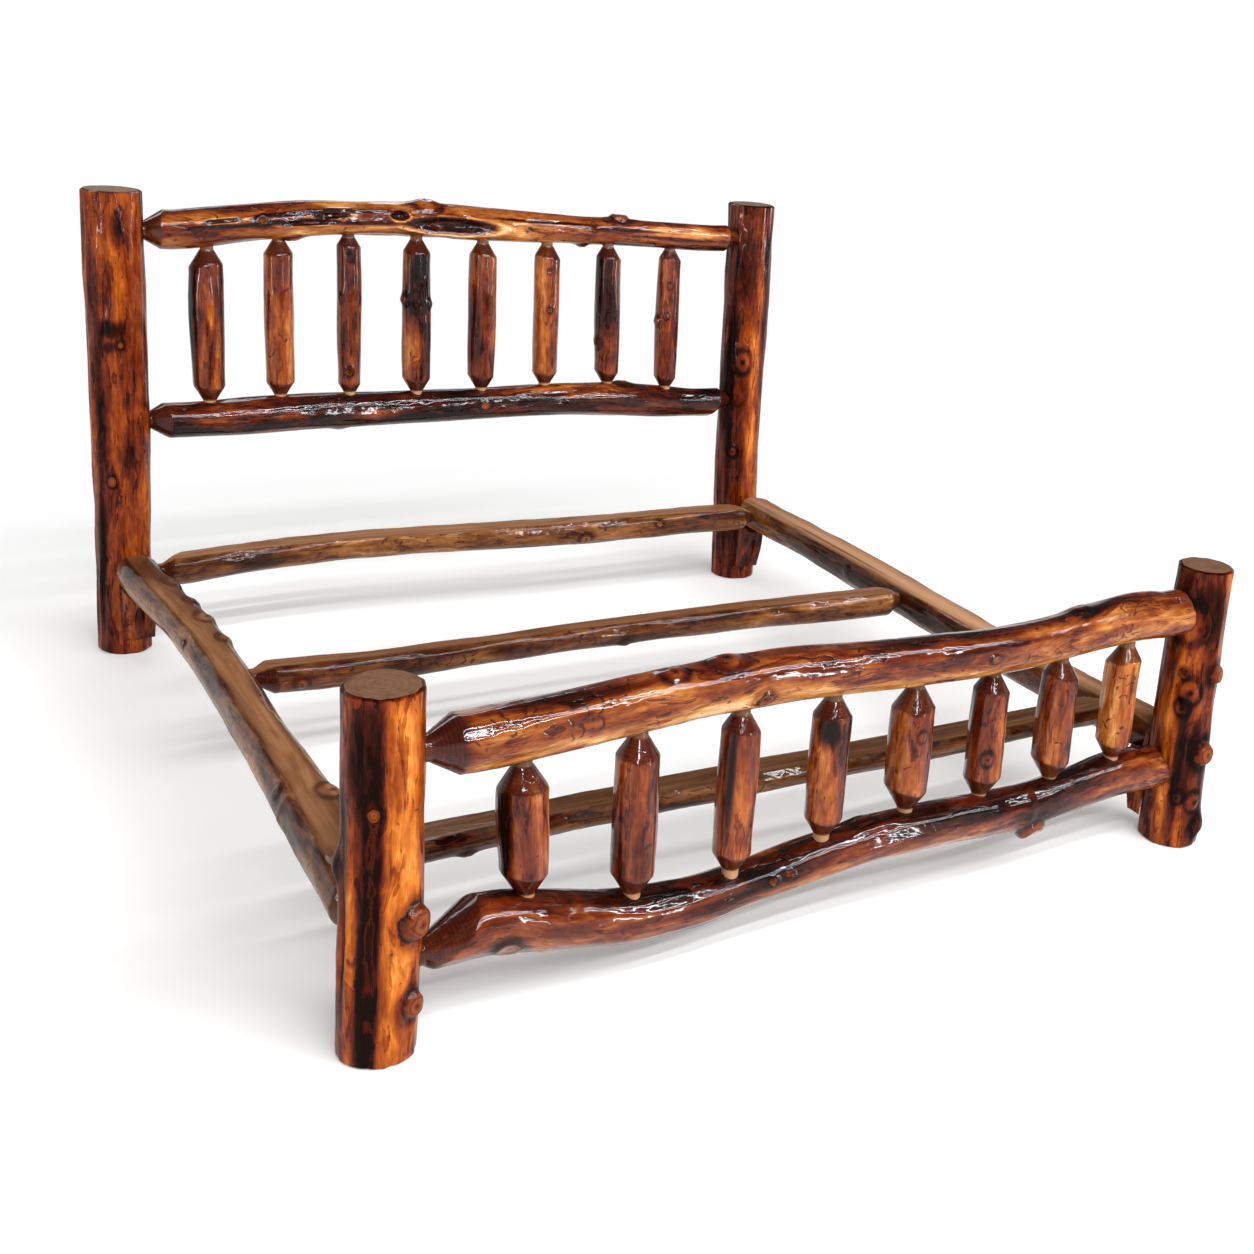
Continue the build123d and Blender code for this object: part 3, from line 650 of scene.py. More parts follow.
def crescents(tree, read, patterns, level):
    """A mask of crescents: where the log is scraped, and by chance where noise is over level."""
    bent = add(tree, "ShaderNodeVectorMath", {
        0: patterns["wander"].outputs["Color"], 1: BENDING, 2: read["grain"]},
        operation="MULTIPLY_ADD")
    cells = add(tree, "ShaderNodeTexVoronoi", {"Vector": bent.outputs[0], "Scale": CRESCENT_CELLS})
    line = add(tree, "ShaderNodeMath", {0: cells.outputs["Distance"], 1: CRESCENT_RADIUS},
               operation="SUBTRACT")
    line = add(tree, "ShaderNodeMath", {0: line.outputs[0]}, operation="ABSOLUTE")
    ring = add(tree, "ShaderNodeMapRange", {
        0: line.outputs[0], 1: CRESCENT_LINE[0], 2: CRESCENT_LINE[1]})
    beside = add(tree, "ShaderNodeVectorMath", {0: bent.outputs[0], 1: cells.outputs["Position"]},
                 operation="SUBTRACT")
    beside = add(tree, "ShaderNodeSeparateXYZ", {0: beside.outputs[0]})
    side = add(tree, "ShaderNodeMapRange", {
        0: beside.outputs["Z"], 1: CRESCENT_OPENING[0], 2: CRESCENT_OPENING[1]})
    marked = add(tree, "ShaderNodeMath", {
        0: read["scraped"], 1: MARKED_PULL, 2: patterns["chance"].outputs[0]},
        operation="MULTIPLY_ADD")
    here = add(tree, "ShaderNodeMapRange", {
        0: marked.outputs[0], 1: level, 2: level + CRESCENT_FADE})
    mask = ring.outputs[0]
    for part in (side.outputs[0], here.outputs[0], CRESCENT_STRENGTH):
        mask = add(tree, "ShaderNodeMath", {0: mask, 1: part}, operation="MULTIPLY").outputs[0]
    return mask


print("crescents:", round(1000 * CRESCENT_RADIUS / CRESCENT_CELLS), "mm in radius")


# %% [markdown]
# ## Sawn faces
#
# The saw opens the log, so ends show faint growth rings, and flats show straight lines along
# the grain. Rings round the log's middle give both, since a flat cuts them lengthways. Real
# growth rings are 2 or 3 mm apart and wouldn't show from here, so these are 13 mm apart: a
# wave texture has one ring in 0.314 / scale metres. Light tones on a flat are freshly planed
# wood, and dark ones are weathered.

# %% Colour the sawn faces
YEARS = {"Scale": 24.0, "Distortion": 0.9, "Detail": 1.0}
LENGTHWAYS = 0.02                 # the rings hardly change along the log
SAW_LINE, CLOUD_STAIN, PLANED, WEATHERED = "#6a3a1c", "#5b2c12", "#d9a57a", "#3f1806"


def sawn_faces(tree, read, patterns, pale, dark):
    """The colour of sawn wood, with growth rings that go from pale to dark."""
    place = add(tree, "ShaderNodeVectorMath", {0: read["grain"], 1: (1, 1, LENGTHWAYS)},
                operation="MULTIPLY")
    years = add(tree, "ShaderNodeTexWave", {"Vector": place.outputs[0], **YEARS},
                wave_type="RINGS", rings_direction="Z")
    wood = add(tree, "ShaderNodeMix", {
        0: years.outputs["Fac"], 6: colour(pale), 7: colour(dark)}, data_type="RGBA").outputs[2]
    lines, stain = patterns["saw_lines"].outputs[0], patterns["clouds"].outputs[0]

    # Each layer: what it reads, where it starts and is full, how strong it is, and its colour.
    for source, start, end, most, tint in (
            (lines, 0.45, 0.75, 0.55, SAW_LINE), (stain, 0.5, 0.68, 0.5, CLOUD_STAIN),
            (read["tone"], 0.0, 0.45, 0.6, PLANED), (read["tone"], 0.0, -0.45, 0.85, WEATHERED)):
        amount = add(tree, "ShaderNodeMapRange", {0: source, 1: start, 2: end, 3: 0.0, 4: most})
        wood = add(tree, "ShaderNodeMix", {0: amount.outputs[0], 6: wood, 7: colour(tint)},
                   data_type="RGBA").outputs[2]
    return wood


print("growth rings:", round(314 / YEARS["Scale"]), "mm apart")


# %% [markdown]
# ## Varnished log
#
# Peeled pine under clear gloss varnish. The varnish is the shader's coat, a clear layer with
# its own gloss and its own, smoother relief, so its highlights stay clear while the wood under
# it is rough. The wood runs from honey through orange to red-brown as its tone goes from light
# to dark. Thin dark inner bark is left in patches. The cutter's cones are end grain, which
# soaks up varnish and goes dark, tenons are bare pale wood, and sawn flats are nearly matte.
# Each of these is one more layer of colour, laid over those before it where its mask says.

# %% The varnished log material
MIDDLE_TONE = 0.49                # the tone of plain wood, in the ramp from dark to light
FLAKE_EDGE, FLAKE_END = (0.575, 0.592), 0.72   # the noise at a flake's crisp edge, and its end
FLAKE_TONE = -0.2                 # how much darker a flake's edge is
BARK_PULL = -0.14                 # dark places have more bark, light ones less
BARK_STEP = 0.02                  # of the noise, over which solid bark begins
EDGE_START, EDGE_END, EDGE_STRENGTH = -0.07, 0.01, 0.7   # of its red edge, from bark_level
BARK, BARK_EDGE, CRESCENT, FLECK = "#1d0702", "#5a1a08", "#2c0d05", "#2a0b04"
FLECK_START, FLECK_FULL, FLECK_STRENGTH = 0.69, 0.72, 0.85   # only the noise's highest tops
WAVERING = 0.5                    # knot radii by which a knot's rings waver
KNOT_EDGE = (1.05, 0.92)          # knot radii where its colours begin, and are full
KNOT_HEART = [(0.0, "#1c0904"), (0.1, "#5a240d"), (0.3, "#824015"), (0.46, "#733210"),
              (0.53, "#481a08"), (0.6, "#783512"), (0.74, "#5f270d"), (0.86, "#1f0804"),
              (1.0, "#240b04")]
CUTTER_RINGS = {"Scale": 45.0, "Distortion": 2.5, "Detail": 2.0}   # 7 mm apart
CONE_WOOD = ("#310e06", "#43170a")
CONE_STRENGTH = 0.8
BARE_WOOD = "#c08e63"
RELIEF = {"clouds": 0.0004, "mottle": 0.0003, "flakes": -0.0003, "crescents": -0.0001,
          "bark": 0.0004, "flecks": -0.0003, "fibres": 0.0002}   # metres above plain wood
UNDER_VARNISH = ("bark", "flecks", "fibres")   # relief that the varnish fills and hides
RELIEF_STRENGTH = 0.8
SAWN_DULLING = 0.6                # share of the varnish that a sawn face lacks
DRUNK_UP, NOT_DRUNK = 0.05, 0.35  # tones of wood that has soaked varnish up fully, and not at all
WOOD_ROUGHNESS, SAWN_ROUGHER = 0.38, 0.2
WOOD_GLOSS = 0.02                 # wood under varnish has hardly any gloss of its own
COAT_ROUGHNESS, COAT_IOR = 0.06, 1.46   # a clear alkyd varnish, levelled but not polished


def varnished_log(name, wood, bark_level, crescent_level, sawn_wood=("#9c6c46", "#8a5a38"),
                  shift=0.0, cloudy=0.95, coat=0.5, soaked=0.2):
    """A log's material.

    wood is the ramp from dark to light, and sawn_wood the two tones of its growth rings. A
    lower bark_level or crescent_level gives more of them. shift makes the wood lighter or
    darker, and cloudy says how strong its clouds are. coat is how thick the varnish looks,
    and soaked the share of it that dark wood has drunk.
    """
    material = bpy.data.materials.new(name)
    tree = empty_tree(material)
    read = {}
    for mask in ("grain", "tone", "eye", "scraped", "turned", "bare", "sawn"):
        node = add(tree, "ShaderNodeAttribute", attribute_name=mask)
        read[mask] = node.outputs["Vector" if mask == "grain" else "Fac"]
    patterns = lay_patterns(tree, read["grain"])
    noise = {key: node.outputs["Fac"] for key, node in patterns.items()}

    # The tone, from what is stored on the log and four sizes of noise, and then the flakes:
    # dark, with one crisp edge, fading off behind it.
    tone = read["tone"]
    weights = {"streaks": 1.15, "clouds": cloudy, "fibres": 0.24, "mottle": 0.36}
    for key, weight in weights.items():
        tone = add(tree, "ShaderNodeMath", {0: noise[key], 1: weight, 2: tone},
                   operation="MULTIPLY_ADD").outputs[0]
    level = MIDDLE_TONE + shift - sum(weights.values()) / 2
    tone = add(tree, "ShaderNodeMath", {0: tone, 1: level}, operation="ADD").outputs[0]
    crisp = add(tree, "ShaderNodeMapRange", {
        0: noise["flakes"], 1: FLAKE_EDGE[0], 2: FLAKE_EDGE[1]})
    fading = add(tree, "ShaderNodeMapRange", {
        0: noise["flakes"], 1: FLAKE_EDGE[1], 2: FLAKE_END, 3: 1.0, 4: 0.0})
    flakes = add(tree, "ShaderNodeMath", {0: crisp.outputs[0], 1: fading.outputs[0]},
                 operation="MULTIPLY").outputs[0]
    tone = add(tree, "ShaderNodeMath", {0: flakes, 1: FLAKE_TONE, 2: tone},
               operation="MULTIPLY_ADD").outputs[0]
    plain = add(tree, "ShaderNodeValToRGB", {0: tone})
    ramp_colours(plain, wood)

    # Masks: inner bark with a dark red edge, crescents, and the draw-knife's short flecks.
    barky = add(tree, "ShaderNodeMath", {0: read["tone"], 1: BARK_PULL, 2: noise["bark"]},
                operation="MULTIPLY_ADD").outputs[0]
    bark = add(tree, "ShaderNodeMapRange", {0: barky, 1: bark_level, 2: bark_level + BARK_STEP})
    bark_edge = add(tree, "ShaderNodeMapRange", {
        0: barky, 1: bark_level + EDGE_START, 2: bark_level + EDGE_END, 4: EDGE_STRENGTH})
    nicks = crescents(tree, read, patterns, crescent_level)
    flecks = add(tree, "ShaderNodeMapRange", {
        0: noise["flecks"], 1: FLECK_START, 2: FLECK_FULL, 4: FLECK_STRENGTH})

    # Knots: an amber heart, wavering dark rings, and a black outline.
    waver = add(tree, "ShaderNodeMath", {0: noise["waver"], 1: WAVERING, 2: -WAVERING / 2},
                operation="MULTIPLY_ADD")
    waver = add(tree, "ShaderNodeMath", {0: read["eye"], 1: waver.outputs[0]}, operation="ADD")
    heart = add(tree, "ShaderNodeValToRGB", {0: waver.outputs[0]})
    ramp_colours(heart, KNOT_HEART)
    knot = add(tree, "ShaderNodeMapRange", {
        0: waver.outputs[0], 1: KNOT_EDGE[0], 2: KNOT_EDGE[1]})

    # Cones: plum-brown end grain, with rings that the cutter left.
    rings = add(tree, "ShaderNodeTexWave", {"Vector": read["grain"], **CUTTER_RINGS},
                bands_direction="Z")
    cone = add(tree, "ShaderNodeMix", {
        0: rings.outputs["Fac"], 6: colour(CONE_WOOD[0]), 7: colour(CONE_WOOD[1])},
        data_type="RGBA")
    veil = add(tree, "ShaderNodeMath", {0: read["turned"], 1: CONE_STRENGTH},
               operation="MULTIPLY")

    # All the layers, each over those before it.
    sawn = sawn_faces(tree, read, patterns, *sawn_wood)
    body = plain.outputs[0]
    for mask, over in ((bark_edge.outputs[0], colour(BARK_EDGE)), (bark.outputs[0], colour(BARK)),
                       (nicks, colour(CRESCENT)), (flecks.outputs[0], colour(FLECK)),
                       (knot.outputs[0], heart.outputs[0]), (veil.outputs[0], cone.outputs[2]),
                       (read["bare"], colour(BARE_WOOD)), (read["sawn"], sawn)):
        body = add(tree, "ShaderNodeMix", {0: mask, 6: body, 7: over}, data_type="RGBA").outputs[2]

    # Relief: first what shows through the varnish, and then what only the wood has.
    raised = {"clouds": noise["clouds"], "mottle": noise["mottle"], "flakes": flakes,
              "crescents": nicks, "bark": bark.outputs[0], "flecks": flecks.outputs[0],
              "fibres": noise["fibres"]}
    height, heights = 0.0, {}
    for key, metres in RELIEF.items():
        height = add(tree, "ShaderNodeMath", {0: raised[key], 1: metres, 2: height},
                     operation="MULTIPLY_ADD").outputs[0]
        heights["wood" if key in UNDER_VARNISH else "varnish"] = height
    relief = {key: add(tree, "ShaderNodeBump", {
        "Height": value, "Strength": RELIEF_STRENGTH, "Distance": 1.0})
        for key, value in heights.items()}

    # The varnish: thinner on sawn faces, and where dark wood has drunk it.
    varnish = add(tree, "ShaderNodeMath", {0: read["sawn"], 1: -SAWN_DULLING * coat, 2: coat},
                  operation="MULTIPLY_ADD")
    undrunk = add(tree, "ShaderNodeMapRange", {
        0: tone, 1: DRUNK_UP, 2: NOT_DRUNK, 3: 1 - soaked, 4: 1.0})
    varnish = add(tree, "ShaderNodeMath", {0: varnish.outputs[0], 1: undrunk.outputs[0]},
                  operation="MULTIPLY")
    rough = add(tree, "ShaderNodeMath", {0: read["sawn"], 1: SAWN_ROUGHER, 2: WOOD_ROUGHNESS},
                operation="MULTIPLY_ADD")
    shader = add(tree, "ShaderNodeBsdfPrincipled", {
        "Base Color": body, "Roughness": rough.outputs[0], "Specular IOR Level": WOOD_GLOSS,
        "Coat Weight": varnish.outputs[0], "Coat Roughness": COAT_ROUGHNESS, "Coat IOR": COAT_IOR,
        "Normal": relief["wood"].outputs[0], "Coat Normal": relief["varnish"].outputs[0]})
    add(tree, "ShaderNodeOutputMaterial", {"Surface": shader.outputs[0]})
    return material


# %% [markdown]
# ## Four finishes of the same wood
#
# The logs were varnished together, but not all alike: the posts took up most, so they shine
# least. The rails of the two boards shine most and are the brownest, the spindles are
# redder, and the bed's own rails are a duller brown. So one function makes all four, from a
# ramp each and a few numbers.

# %% Make the four finishes
POST_WOOD = [(0.0, "#120502"), (0.22, "#370d02"), (0.42, "#672204"), (0.6, "#8f400c"),
             (0.78, "#b96319"), (0.92, "#d88639"), (1.0, "#e9a65e")]
RAIL_WOOD = [(0.0, "#100402"), (0.22, "#340c02"), (0.42, "#602206"), (0.6, "#8a4616"),
             (0.78, "#b27033"), (0.92, "#cf9555"), (1.0, "#e0b07c")]
SPINDLE_WOOD = [(0.0, "#120502"), (0.22, "#380d02"), (0.42, "#642205"), (0.6, "#8d4212"),
                (0.78, "#b86b28"), (0.92, "#d69049"), (1.0, "#e6b06c")]
BED_RAIL_WOOD = [(0.0, "#170803"), (0.25, "#3b1a0a"), (0.45, "#613516"), (0.65, "#86542a"),
                 (0.85, "#ae7a46"), (1.0, "#cfa470")]
post_wood = varnished_log("varnished_pine_posts", POST_WOOD, 0.69, 0.70, cloudy=0.75, coat=0.32,
                          soaked=0.75, sawn_wood=("#7d5c43", "#735239"))
rail_wood = varnished_log("varnished_pine_board_rails", RAIL_WOOD, 0.68, 0.62, coat=0.88,
                          soaked=0.3)
spindle_wood = varnished_log("varnished_pine_spindles", SPINDLE_WOOD, 0.70, 0.62, cloudy=0.85,
                             coat=0.8, soaked=0.4)
bed_rail_wood = varnished_log("varnished_pine_bed_rails", BED_RAIL_WOOD, 0.66, 0.58, coat=0.5)
print("materials:", [m.name for m in bpy.data.materials])

# %% [markdown]
# ## The posts
#
# Four thick logs stand on the floor, sawn square at both ends with a rounded rim. Their
# knots and stains are placed one by one, because they are what tells one log from another:
# sawn branch stubs and healed bumps, long ribs and grooves low on the foot posts, and dark
# streaks where bark was left. Negative amounts are dark stains, and positive ones light.

# %% Make the posts
POST_RIM = 0.006
posts = {
    "post_head_left": dict(
        seed=11, shade=-0.04,
        knots=[(0.96, -112, 20, 5, "ridge", 1.6), (0.908, -95, 9, 3, "eye"),
               (0.52, -120, 14, 3, "eye"), (1.15, -130, 60, 4, "ridge", 4.0)],
        marks=[(0.95, -150, 300, 20, -0.3), (1.22, -95, 50, 14, -0.4), (0.95, -110, 26, 34, -0.42),
               (0.90, -118, 16, 20, -0.3), (0.35, -150, 220, 14, -0.35)],
        scraped=[(0.55, -110, 70, 30, 0.6)]),
    "post_head_right": dict(
        seed=12, shade=-0.12,
        knots=[(0.79, -120, 32, 8, "bump"), (0.47, -135, 16, 5, "bump")],
        marks=[(0.6, -85, 600, 26, 0.22), (0.75, -150, 500, 15, -0.3),
               (1.10, -115, 130, 30, -0.25)]),
    "post_foot_left": dict(
        seed=13, shade=-0.05,
        knots=[(0.293, -58, 34, 22, "stub"), (0.121, -57, 26, 16, "stub"),
               (0.517, -120, 13, 2, "eye"), (0.388, 155, 26, 12, "bump"),
               (0.24, -158, 14, 8, "ridge", 13.0), (0.26, -175, 12, -8, "ridge", 16.0)],
        marks=[(0.62, -132, 110, 36, -0.42), (0.37, -121, 180, 19, -0.55),
               (0.13, -127, 190, 22, -0.55), (0.35, -82, 420, 34, 0.22),
               (0.27, -170, 230, 9, -0.45), (0.20, -156, 240, 14, 0.25)]),
    "post_foot_right": dict(
        seed=14, shade=-0.10,
        knots=[(0.473, -78, 24, 17, "stub"), (0.264, -88, 30, 24, "stub"),
               (0.062, -74, 26, 15, "bump"), (0.429, -132, 26, 14, "bump"),
               (0.472, -150, 12, 5, "hole"), (0.385, -143, 17, 10, "bump"),
               (0.144, -129, 15, 6, "bump"), (0.132, -95, 22, 8, "bump"),
               (0.60, -150, 40, 13, "bump"), (0.25, -150, 10, 5, "ridge", 14.0),
               (0.25, -118, 9, -5, "ridge", 16.0)],
        marks=[(0.30, -160, 260, 18, 0.3), (0.25, -135, 240, 12, -0.28),
               (0.62, -110, 90, 40, -0.3)]),
}
for node, facts in posts.items():
    piece = grow_log(node, 2, ("sawn", POST_RIM), lobes=0.03, ridges=0.0016, **facts)
    dress(piece, post_wood, node)
    print(node, "points:", len(piece.data.vertices))

# %% [markdown]
# ## The rails of the head and foot boards
#
# Four crooked rails carry the spindles. The headboard's top rail has long healed wounds, which
# are hollows with rolled lips, and the footboard's rails have blunter points at their right
# ends. Only the CAD log knows where the tenons are, so the ends are cut to its measures.

# %% Make the board rails
RAIL_TENON = ("tenon", 0.025, 0.070)
rails = {
    "headboard_top_rail": dict(
        seed=21, shade=-0.03,
        knots=[(-0.14, 104, 38, 15, "bump"), (0.51, 92, 32, 13, "stub"),
               (-0.632, 166, 13, 4, "hole"), (-0.54, -97, 24, 10, "bump"),
               (0.382, -97, 16, 11, "bump"), (0.406, 172, 10, 3, "hole"),
               (-0.235, 162, 15, 12, "wound", 2.0), (-0.065, -172, 25, 20, "wound", 6.4),
               (0.118, -172, 13, 7, "ridge", 1.6), (-0.42, 146, 12, 7, "ridge", 10.0),
               (-0.50, -176, 9, 7, "wound", 10.0), (-0.44, 164, 7, 6, "wound", 9.0),
               (-0.74, 158, 6, 4, "wound", 10.0)],
        marks=[(-0.45, 170, 260, 60, 0.16), (-0.60, 178, 150, 5, -0.7),
               (-0.45, 150, 200, 6, -0.7), (-0.33, -172, 130, 7, -0.7), (-0.78, 172, 60, 5, -0.6),
               (0.25, 150, 180, 6, -0.7), (0.50, 165, 160, 6, -0.7), (0.68, -170, 120, 6, -0.6)]),
    "headboard_lower_rail": dict(
        seed=22, shade=-0.33,
        knots=[(-0.40, -80, 28, 9, "bump"), (0.55, 80, 26, 8, "bump"), (0.05, 175, 14, 4, "eye")],
        marks=[(-0.75, 160, 90, 40, 0.3), (0.35, 130, 250, 30, 0.3), (-0.30, -172, 90, 16, 0.4),
               (-0.55, 175, 60, 14, 0.4), (0.10, -170, 70, 16, 0.35)]),
    "footboard_top_rail": dict(
        seed=23, shade=0.08, blunt=4.0,
        knots=[(-0.265, -159, 18, 7, "eye"), (-0.265, -159, 8, 4, "hole"),
               (-0.33, 95, 32, 9, "bump"), (-0.455, 106, 22, 7, "bump"),
               (0.62, 80, 30, 7, "bump"), (0.32, 175, 12, 4, "eye")],
        # The long dark mark along the top, at angle 100, is painted shade: the dim top of the rail.
        marks=[(-0.35, -145, 620, 26, 0.24), (-0.05, 100, 800, 30, -0.36),
               (0.55, -150, 260, 26, 0.2), (-0.92, 140, 40, 90, -0.3)],
        scraped=[(-0.649, 165, 50, 44, 1.3), (-0.80, 130, 70, 34, 1.3), (0.715, 163, 60, 40, 1.2),
                (-0.60, 110, 70, 30, 1.0)]),
    "footboard_lower_rail": dict(
        seed=24, shade=-0.18, blunt=3.0,
        knots=[(0.52, -120, 40, 22, "stub"), (-0.80, -142, 24, 4, "eye"), (0.05, 78, 24, 6, "bump"),
               (-0.20, 165, 9, 3, "hole"), (-0.16, 163, 8, 3, "hole")],
        # The long dark mark along the top, at angle 110, is painted shade: the dim top of the rail.
        marks=[(0.0, -150, 700, 30, 0.18), (0.0, 110, 800, 40, -0.25)],
        scraped=[(0.55, 150, 60, 30, 0.8)]),
}
for node, facts in rails.items():
    piece = grow_log(node, 0, RAIL_TENON, lobes=0.048, ridges=0.0009, **facts)
    dress(piece, rail_wood, node)
    print(node, "points:", len(piece.data.vertices))

# %% [markdown]
# ## The spindles
#
# Sixteen short logs, each cut to a point at both ends. The tenon's pale neck shows most at a
# spindle's foot, where the cone stops short of the rail. Copies of one spindle would show at
# once side by side, so every spindle gets a seed of its own, and most a knot or a stain.

# %% Make the spindles
SPINDLE_TENON = ("tenon", 0.018, 0.034)
NECKS = (0.9, 0.2)                # how pale the lower and upper necks are
spindles = {
    "headboard_spindle_1": dict(shade=-0.17, marks=[(0.99, -165, 200, 16, -0.5)]),
    "headboard_spindle_2": dict(
        shade=0.03, scraped=[(0.90, -110, 60, 30, 0.9), (1.05, -90, 30, 20, 0.8)]),
    "headboard_spindle_3": dict(
        shade=-0.17, knots=[(1.14, -100, 10, 4, "bump"), (1.019, -150, 12, 7, "bump"),
                            (0.80, -105, 12, 5, "hole")]),
    "headboard_spindle_4": dict(
        shade=-0.14, knots=[(1.013, -160, 16, 11, "bump"), (1.03, -85, 11, 8, "wound", 4.5),
                            (1.0, -40, 13, 8, "bump")],
        marks=[(1.05, -100, 110, 30, -0.7), (0.86, -120, 60, 30, 0.3)]),
    "headboard_spindle_5": dict(shade=-0.11),
    "headboard_spindle_6": dict(
        shade=0.03, knots=[(0.98, -95, 9, 3, "hole"), (1.10, -100, 7, 2, "hole")]),
    "headboard_spindle_7": dict(shade=-0.24, knots=[(0.864, -160, 16, 9, "bump")]),
    "headboard_spindle_8": dict(
        shade=-0.11, knots=[(0.93, -175, 15, 10, "bump"), (1.05, -110, 9, 4, "bump"),
                            (0.95, -120, 9, 4, "bump")]),
    "footboard_spindle_1": dict(shade=-0.08, marks=[(0.42, -165, 170, 15, -0.6)]),
    "footboard_spindle_2": dict(shade=0.04, scraped=[(0.33, -105, 40, 34, 1.0)]),
    "footboard_spindle_3": dict(shade=0.02, marks=[(0.42, -140, 120, 8, -0.4)]),
    "footboard_spindle_4": dict(shade=-0.06, marks=[(0.50, -130, 40, 22, -0.7)]),
    "footboard_spindle_5": dict(shade=-0.02, knots=[(0.45, -100, 11, 3, "bump")]),
    "footboard_spindle_6": dict(
        shade=-0.02, knots=[(0.355, -118, 15, 3, "bump")], scraped=[(0.44, -120, 40, 34, 0.9)]),
    "footboard_spindle_7": dict(shade=-0.08),
    "footboard_spindle_8": dict(shade=0.12, scraped=[(0.46, -120, 50, 30, 0.9)]),
}
for seed, (node, facts) in enumerate(spindles.items(), start=31):
    piece = grow_log(node, 2, SPINDLE_TENON, lobes=0.05, ridges=0.0009, seed=seed,
                     pale_tenons=NECKS, **facts)
    dress(piece, spindle_wood, node)
print("spindles:", len(spindles))

# %% [markdown]
# ## The bed's own rails
#
# Two side rails and three cross rails carry the mattress, so all are sawn flat on top at one
# height. They are made as the others are, with one more cut: no point may be higher than the
# flat. The left side rail's inner edge is wavy, from a row of bumps that the saw cut through.

# %% Make the side rails and cross rails
SIDE_TENON = ("tenon", 0.036, 0.048)
CROSS_TENON = ("tenon", 0.021, 0.030)
bed_rails = {
    "side_rail_left": dict(
        seed=51,
        knots=[(-0.55, 150, 16, 5, "bump"), (0.35, 160, 13, 4, "eye"), (0.76, 48, 30, 8, "bump"),
               (0.60, 40, 26, 8, "bump"), (0.46, 52, 32, 10, "bump"), (0.30, 45, 24, 7, "bump"),
               (-0.62, 46, 28, 12, "bump")],
        marks=[(0.88, 85, 150, 60, -0.4), (0.60, 68, 160, 16, -0.35), (0.30, 66, 120, 12, -0.3),
               (-0.2, 115, 260, 12, -0.25), (-0.75, 60, 200, 18, -0.25),
               (0.1, 150, 800, 26, -0.25)]),
    "side_rail_right": dict(
        seed=52, knots=[(0.30, 175, 18, 6, "bump"), (-0.35, 165, 16, 5, "bump")],
        marks=[(0.1, 178, 900, 40, -0.35), (0.0, 90, 980, 46, 0.4), (0.4, 118, 300, 8, -0.4)]),
    "cross_rail_head": dict(
        seed=53, knots=[(0.35, -160, 18, 8, "bump"), (0.62, 170, 12, 4, "eye")]),
    "cross_rail_middle": dict(
        seed=54, shade=-0.1,
        knots=[(-0.836, -165, 14, 7, "bump"), (0.048, -140, 15, 7, "bump")],
        scraped=[(-0.45, 165, 160, 40, 0.8), (-0.1, 160, 180, 40, 0.9)]),
    "cross_rail_foot": dict(seed=55, shade=-0.08, knots=[(-0.78, -120, 16, 8, "bump")]),
}
for node, facts in bed_rails.items():
    axis, tenon = (0, CROSS_TENON) if node.startswith("cross") else (1, SIDE_TENON)
    piece = grow_log(node, axis, tenon, flat=True, lobes=0.042, **facts)
    dress(piece, bed_rail_wood, node)
print("bed rails:", len(bed_rails))

# %% [markdown]
# ## Corbels
#
# A corbel is a half-log block, sawn at a slant underneath and rounded in front by the log's
# own skin. Its exact shape matters where it meets the post and the rail, so it starts as a
# copy of the CAD block with its loose triangles merged. A voxel remesh evens out its faces
# and softens its edges as sanding does, and small hills take away the machined look.

# %% Make the corbels
VOXEL = 0.0026                    # side of the remeshed faces
ROUGHNESS = 0.0009                # height of the small hills
HILL_SIZE = (0.03, 0.09)          # of those hills, across and along
PITH = (0.0, 0.06)                # how far the middle of the log is from a block's middle


def hewn_block(node, seed):
    """A softened copy of a CAD block, with straight grain from top to bottom."""
    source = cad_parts[node]
    piece = source.copy()
    piece.data = source.data.copy()
    piece.data.materials.clear()
    piece.name = piece.data.name = node + "_block"
    bpy.context.scene.collection.objects.link(piece)
    select_only(piece)
    bpy.ops.object.mode_set(mode="EDIT")
    bpy.ops.mesh.select_all(action="SELECT")
    bpy.ops.mesh.remove_doubles(threshold=0.00005)
    bpy.ops.object.mode_set(mode="OBJECT")
    remesh = piece.modifiers.new("even_faces", "REMESH")
    remesh.mode, remesh.voxel_size, remesh.adaptivity = "VOXEL", VOXEL, 0.0
    bpy.ops.object.modifier_apply(modifier=remesh.name)
    soft = piece.modifiers.new("sanded_edges", "SMOOTH")
    soft.factor, soft.iterations = 0.5, 4
    bpy.ops.object.modifier_apply(modifier=soft.name)
    count = len(piece.data.vertices)
    points, normals = np.empty(count * 3), np.empty(count * 3)
    piece.data.vertices.foreach_get("co", points)
    piece.data.vertices.foreach_get("normal", normals)
    points, normals = points.reshape(-1, 3), normals.reshape(-1, 3)
    points += (normals * (ROUGHNESS * hills(points, *HILL_SIZE, seed))[:, None]
               - normals * ROUGHNESS)
    piece.data.vertices.foreach_set("co", points.ravel())
    middle = points.mean(axis=0)
    store(piece, "grain", points - middle + np.array((*PITH, GRAIN_STEP * seed)))
    # Painted shade: the tone darkens on faces that look down, so the corbel's underside is darker.
    store(piece, "tone", -0.12 - 0.25 * rise(-normals[:, 2], 0.1, 0.7))
    store(piece, "eye", np.full(count, float(NO_KNOT)))
    for mask in ("turned", "bare", "sawn", "scraped"):
        store(piece, mask, np.zeros(count))
    select_only(piece)
    bpy.ops.object.shade_smooth_by_angle(angle=radians(50))
    return piece


corbel_wood = varnished_log("varnished_pine_corbels", POST_WOOD, 0.62, 0.70, shift=-0.05,
                            soaked=0.6)
corbels = [n for n in sorted(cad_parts) if n.startswith("corbel_") and n != "corbel_dowels"]
for seed, node in enumerate(corbels, start=60):
    piece = hewn_block(node, seed)
    dress(piece, corbel_wood, node)
    print(node, "points:", len(piece.data.vertices))

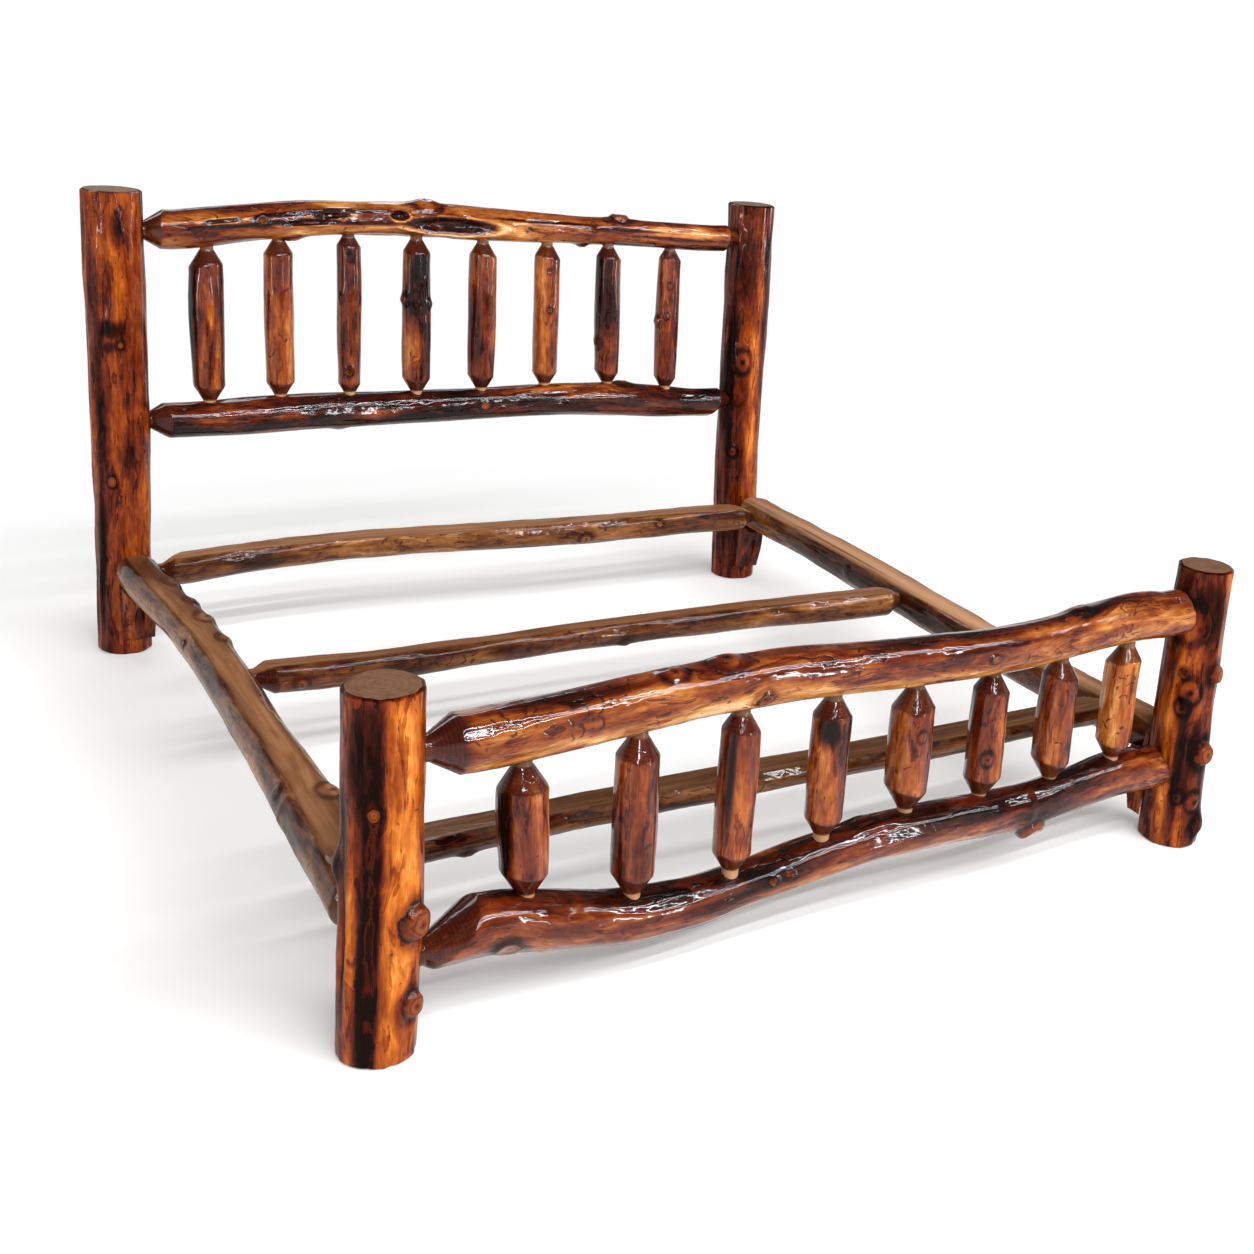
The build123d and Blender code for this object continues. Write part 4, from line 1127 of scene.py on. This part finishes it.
# %% [markdown]
# ## Screws, washers and dowels
#
# The lag screws and washers are zinc-plated steel: a pale, slightly blue metal whose thin
# plating is cloudy rather than mirror-bright, in clouds of 3 mm. The dowels are plain beech with
# tiny dark flecks, 1 mm wide and 14 mm long. The CAD shapes are exact, so they stay as they
# are and only get these two materials.

# %% Finish the fasteners
zinc = bpy.data.materials.new("zinc_plated_steel")
tree = empty_tree(zinc)
where = add(tree, "ShaderNodeTexCoord")
cloud = add(tree, "ShaderNodeTexNoise", {
    "Vector": where.outputs["Object"], "Scale": 350.0, "Detail": 3.0})
plating = add(tree, "ShaderNodeValToRGB", {0: cloud.outputs["Fac"]})
ramp_colours(plating, [(0.3, "#a9adb0"), (0.7, "#c9ccce")])
dullness = add(tree, "ShaderNodeMapRange", {0: cloud.outputs["Fac"], 3: 0.25, 4: 0.45})
metal = add(tree, "ShaderNodeBsdfPrincipled", {
    "Base Color": plating.outputs[0], "Metallic": 1.0, "Roughness": dullness.outputs[0]})
add(tree, "ShaderNodeOutputMaterial", {"Surface": metal.outputs[0]})

beech = bpy.data.materials.new("plain_beech")
tree = empty_tree(beech)
where = add(tree, "ShaderNodeTexCoord")
fibres = add(tree, "ShaderNodeVectorMath", {0: where.outputs["Object"], 1: (1, 0.08, 1)},
             operation="MULTIPLY")
fleck = add(tree, "ShaderNodeTexNoise", {
    "Vector": fibres.outputs[0], "Scale": 900.0, "Detail": 2.0})
beech_tone = add(tree, "ShaderNodeValToRGB", {0: fleck.outputs["Fac"]})
ramp_colours(beech_tone, [(0.3, "#a9794f"), (0.5, "#c99b6d"), (0.7, "#d8b084")])
wood = add(tree, "ShaderNodeBsdfPrincipled", {
    "Base Color": beech_tone.outputs[0], "Roughness": 0.6})
add(tree, "ShaderNodeOutputMaterial", {"Surface": wood.outputs[0]})

for node, material in (("rail_lag_screws", zinc), ("rail_washers", zinc), ("corbel_dowels", beech)):
    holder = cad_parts[node]
    holder.data.materials.clear()
    holder.data.materials.append(material)
print("fasteners dressed: 3 nodes")
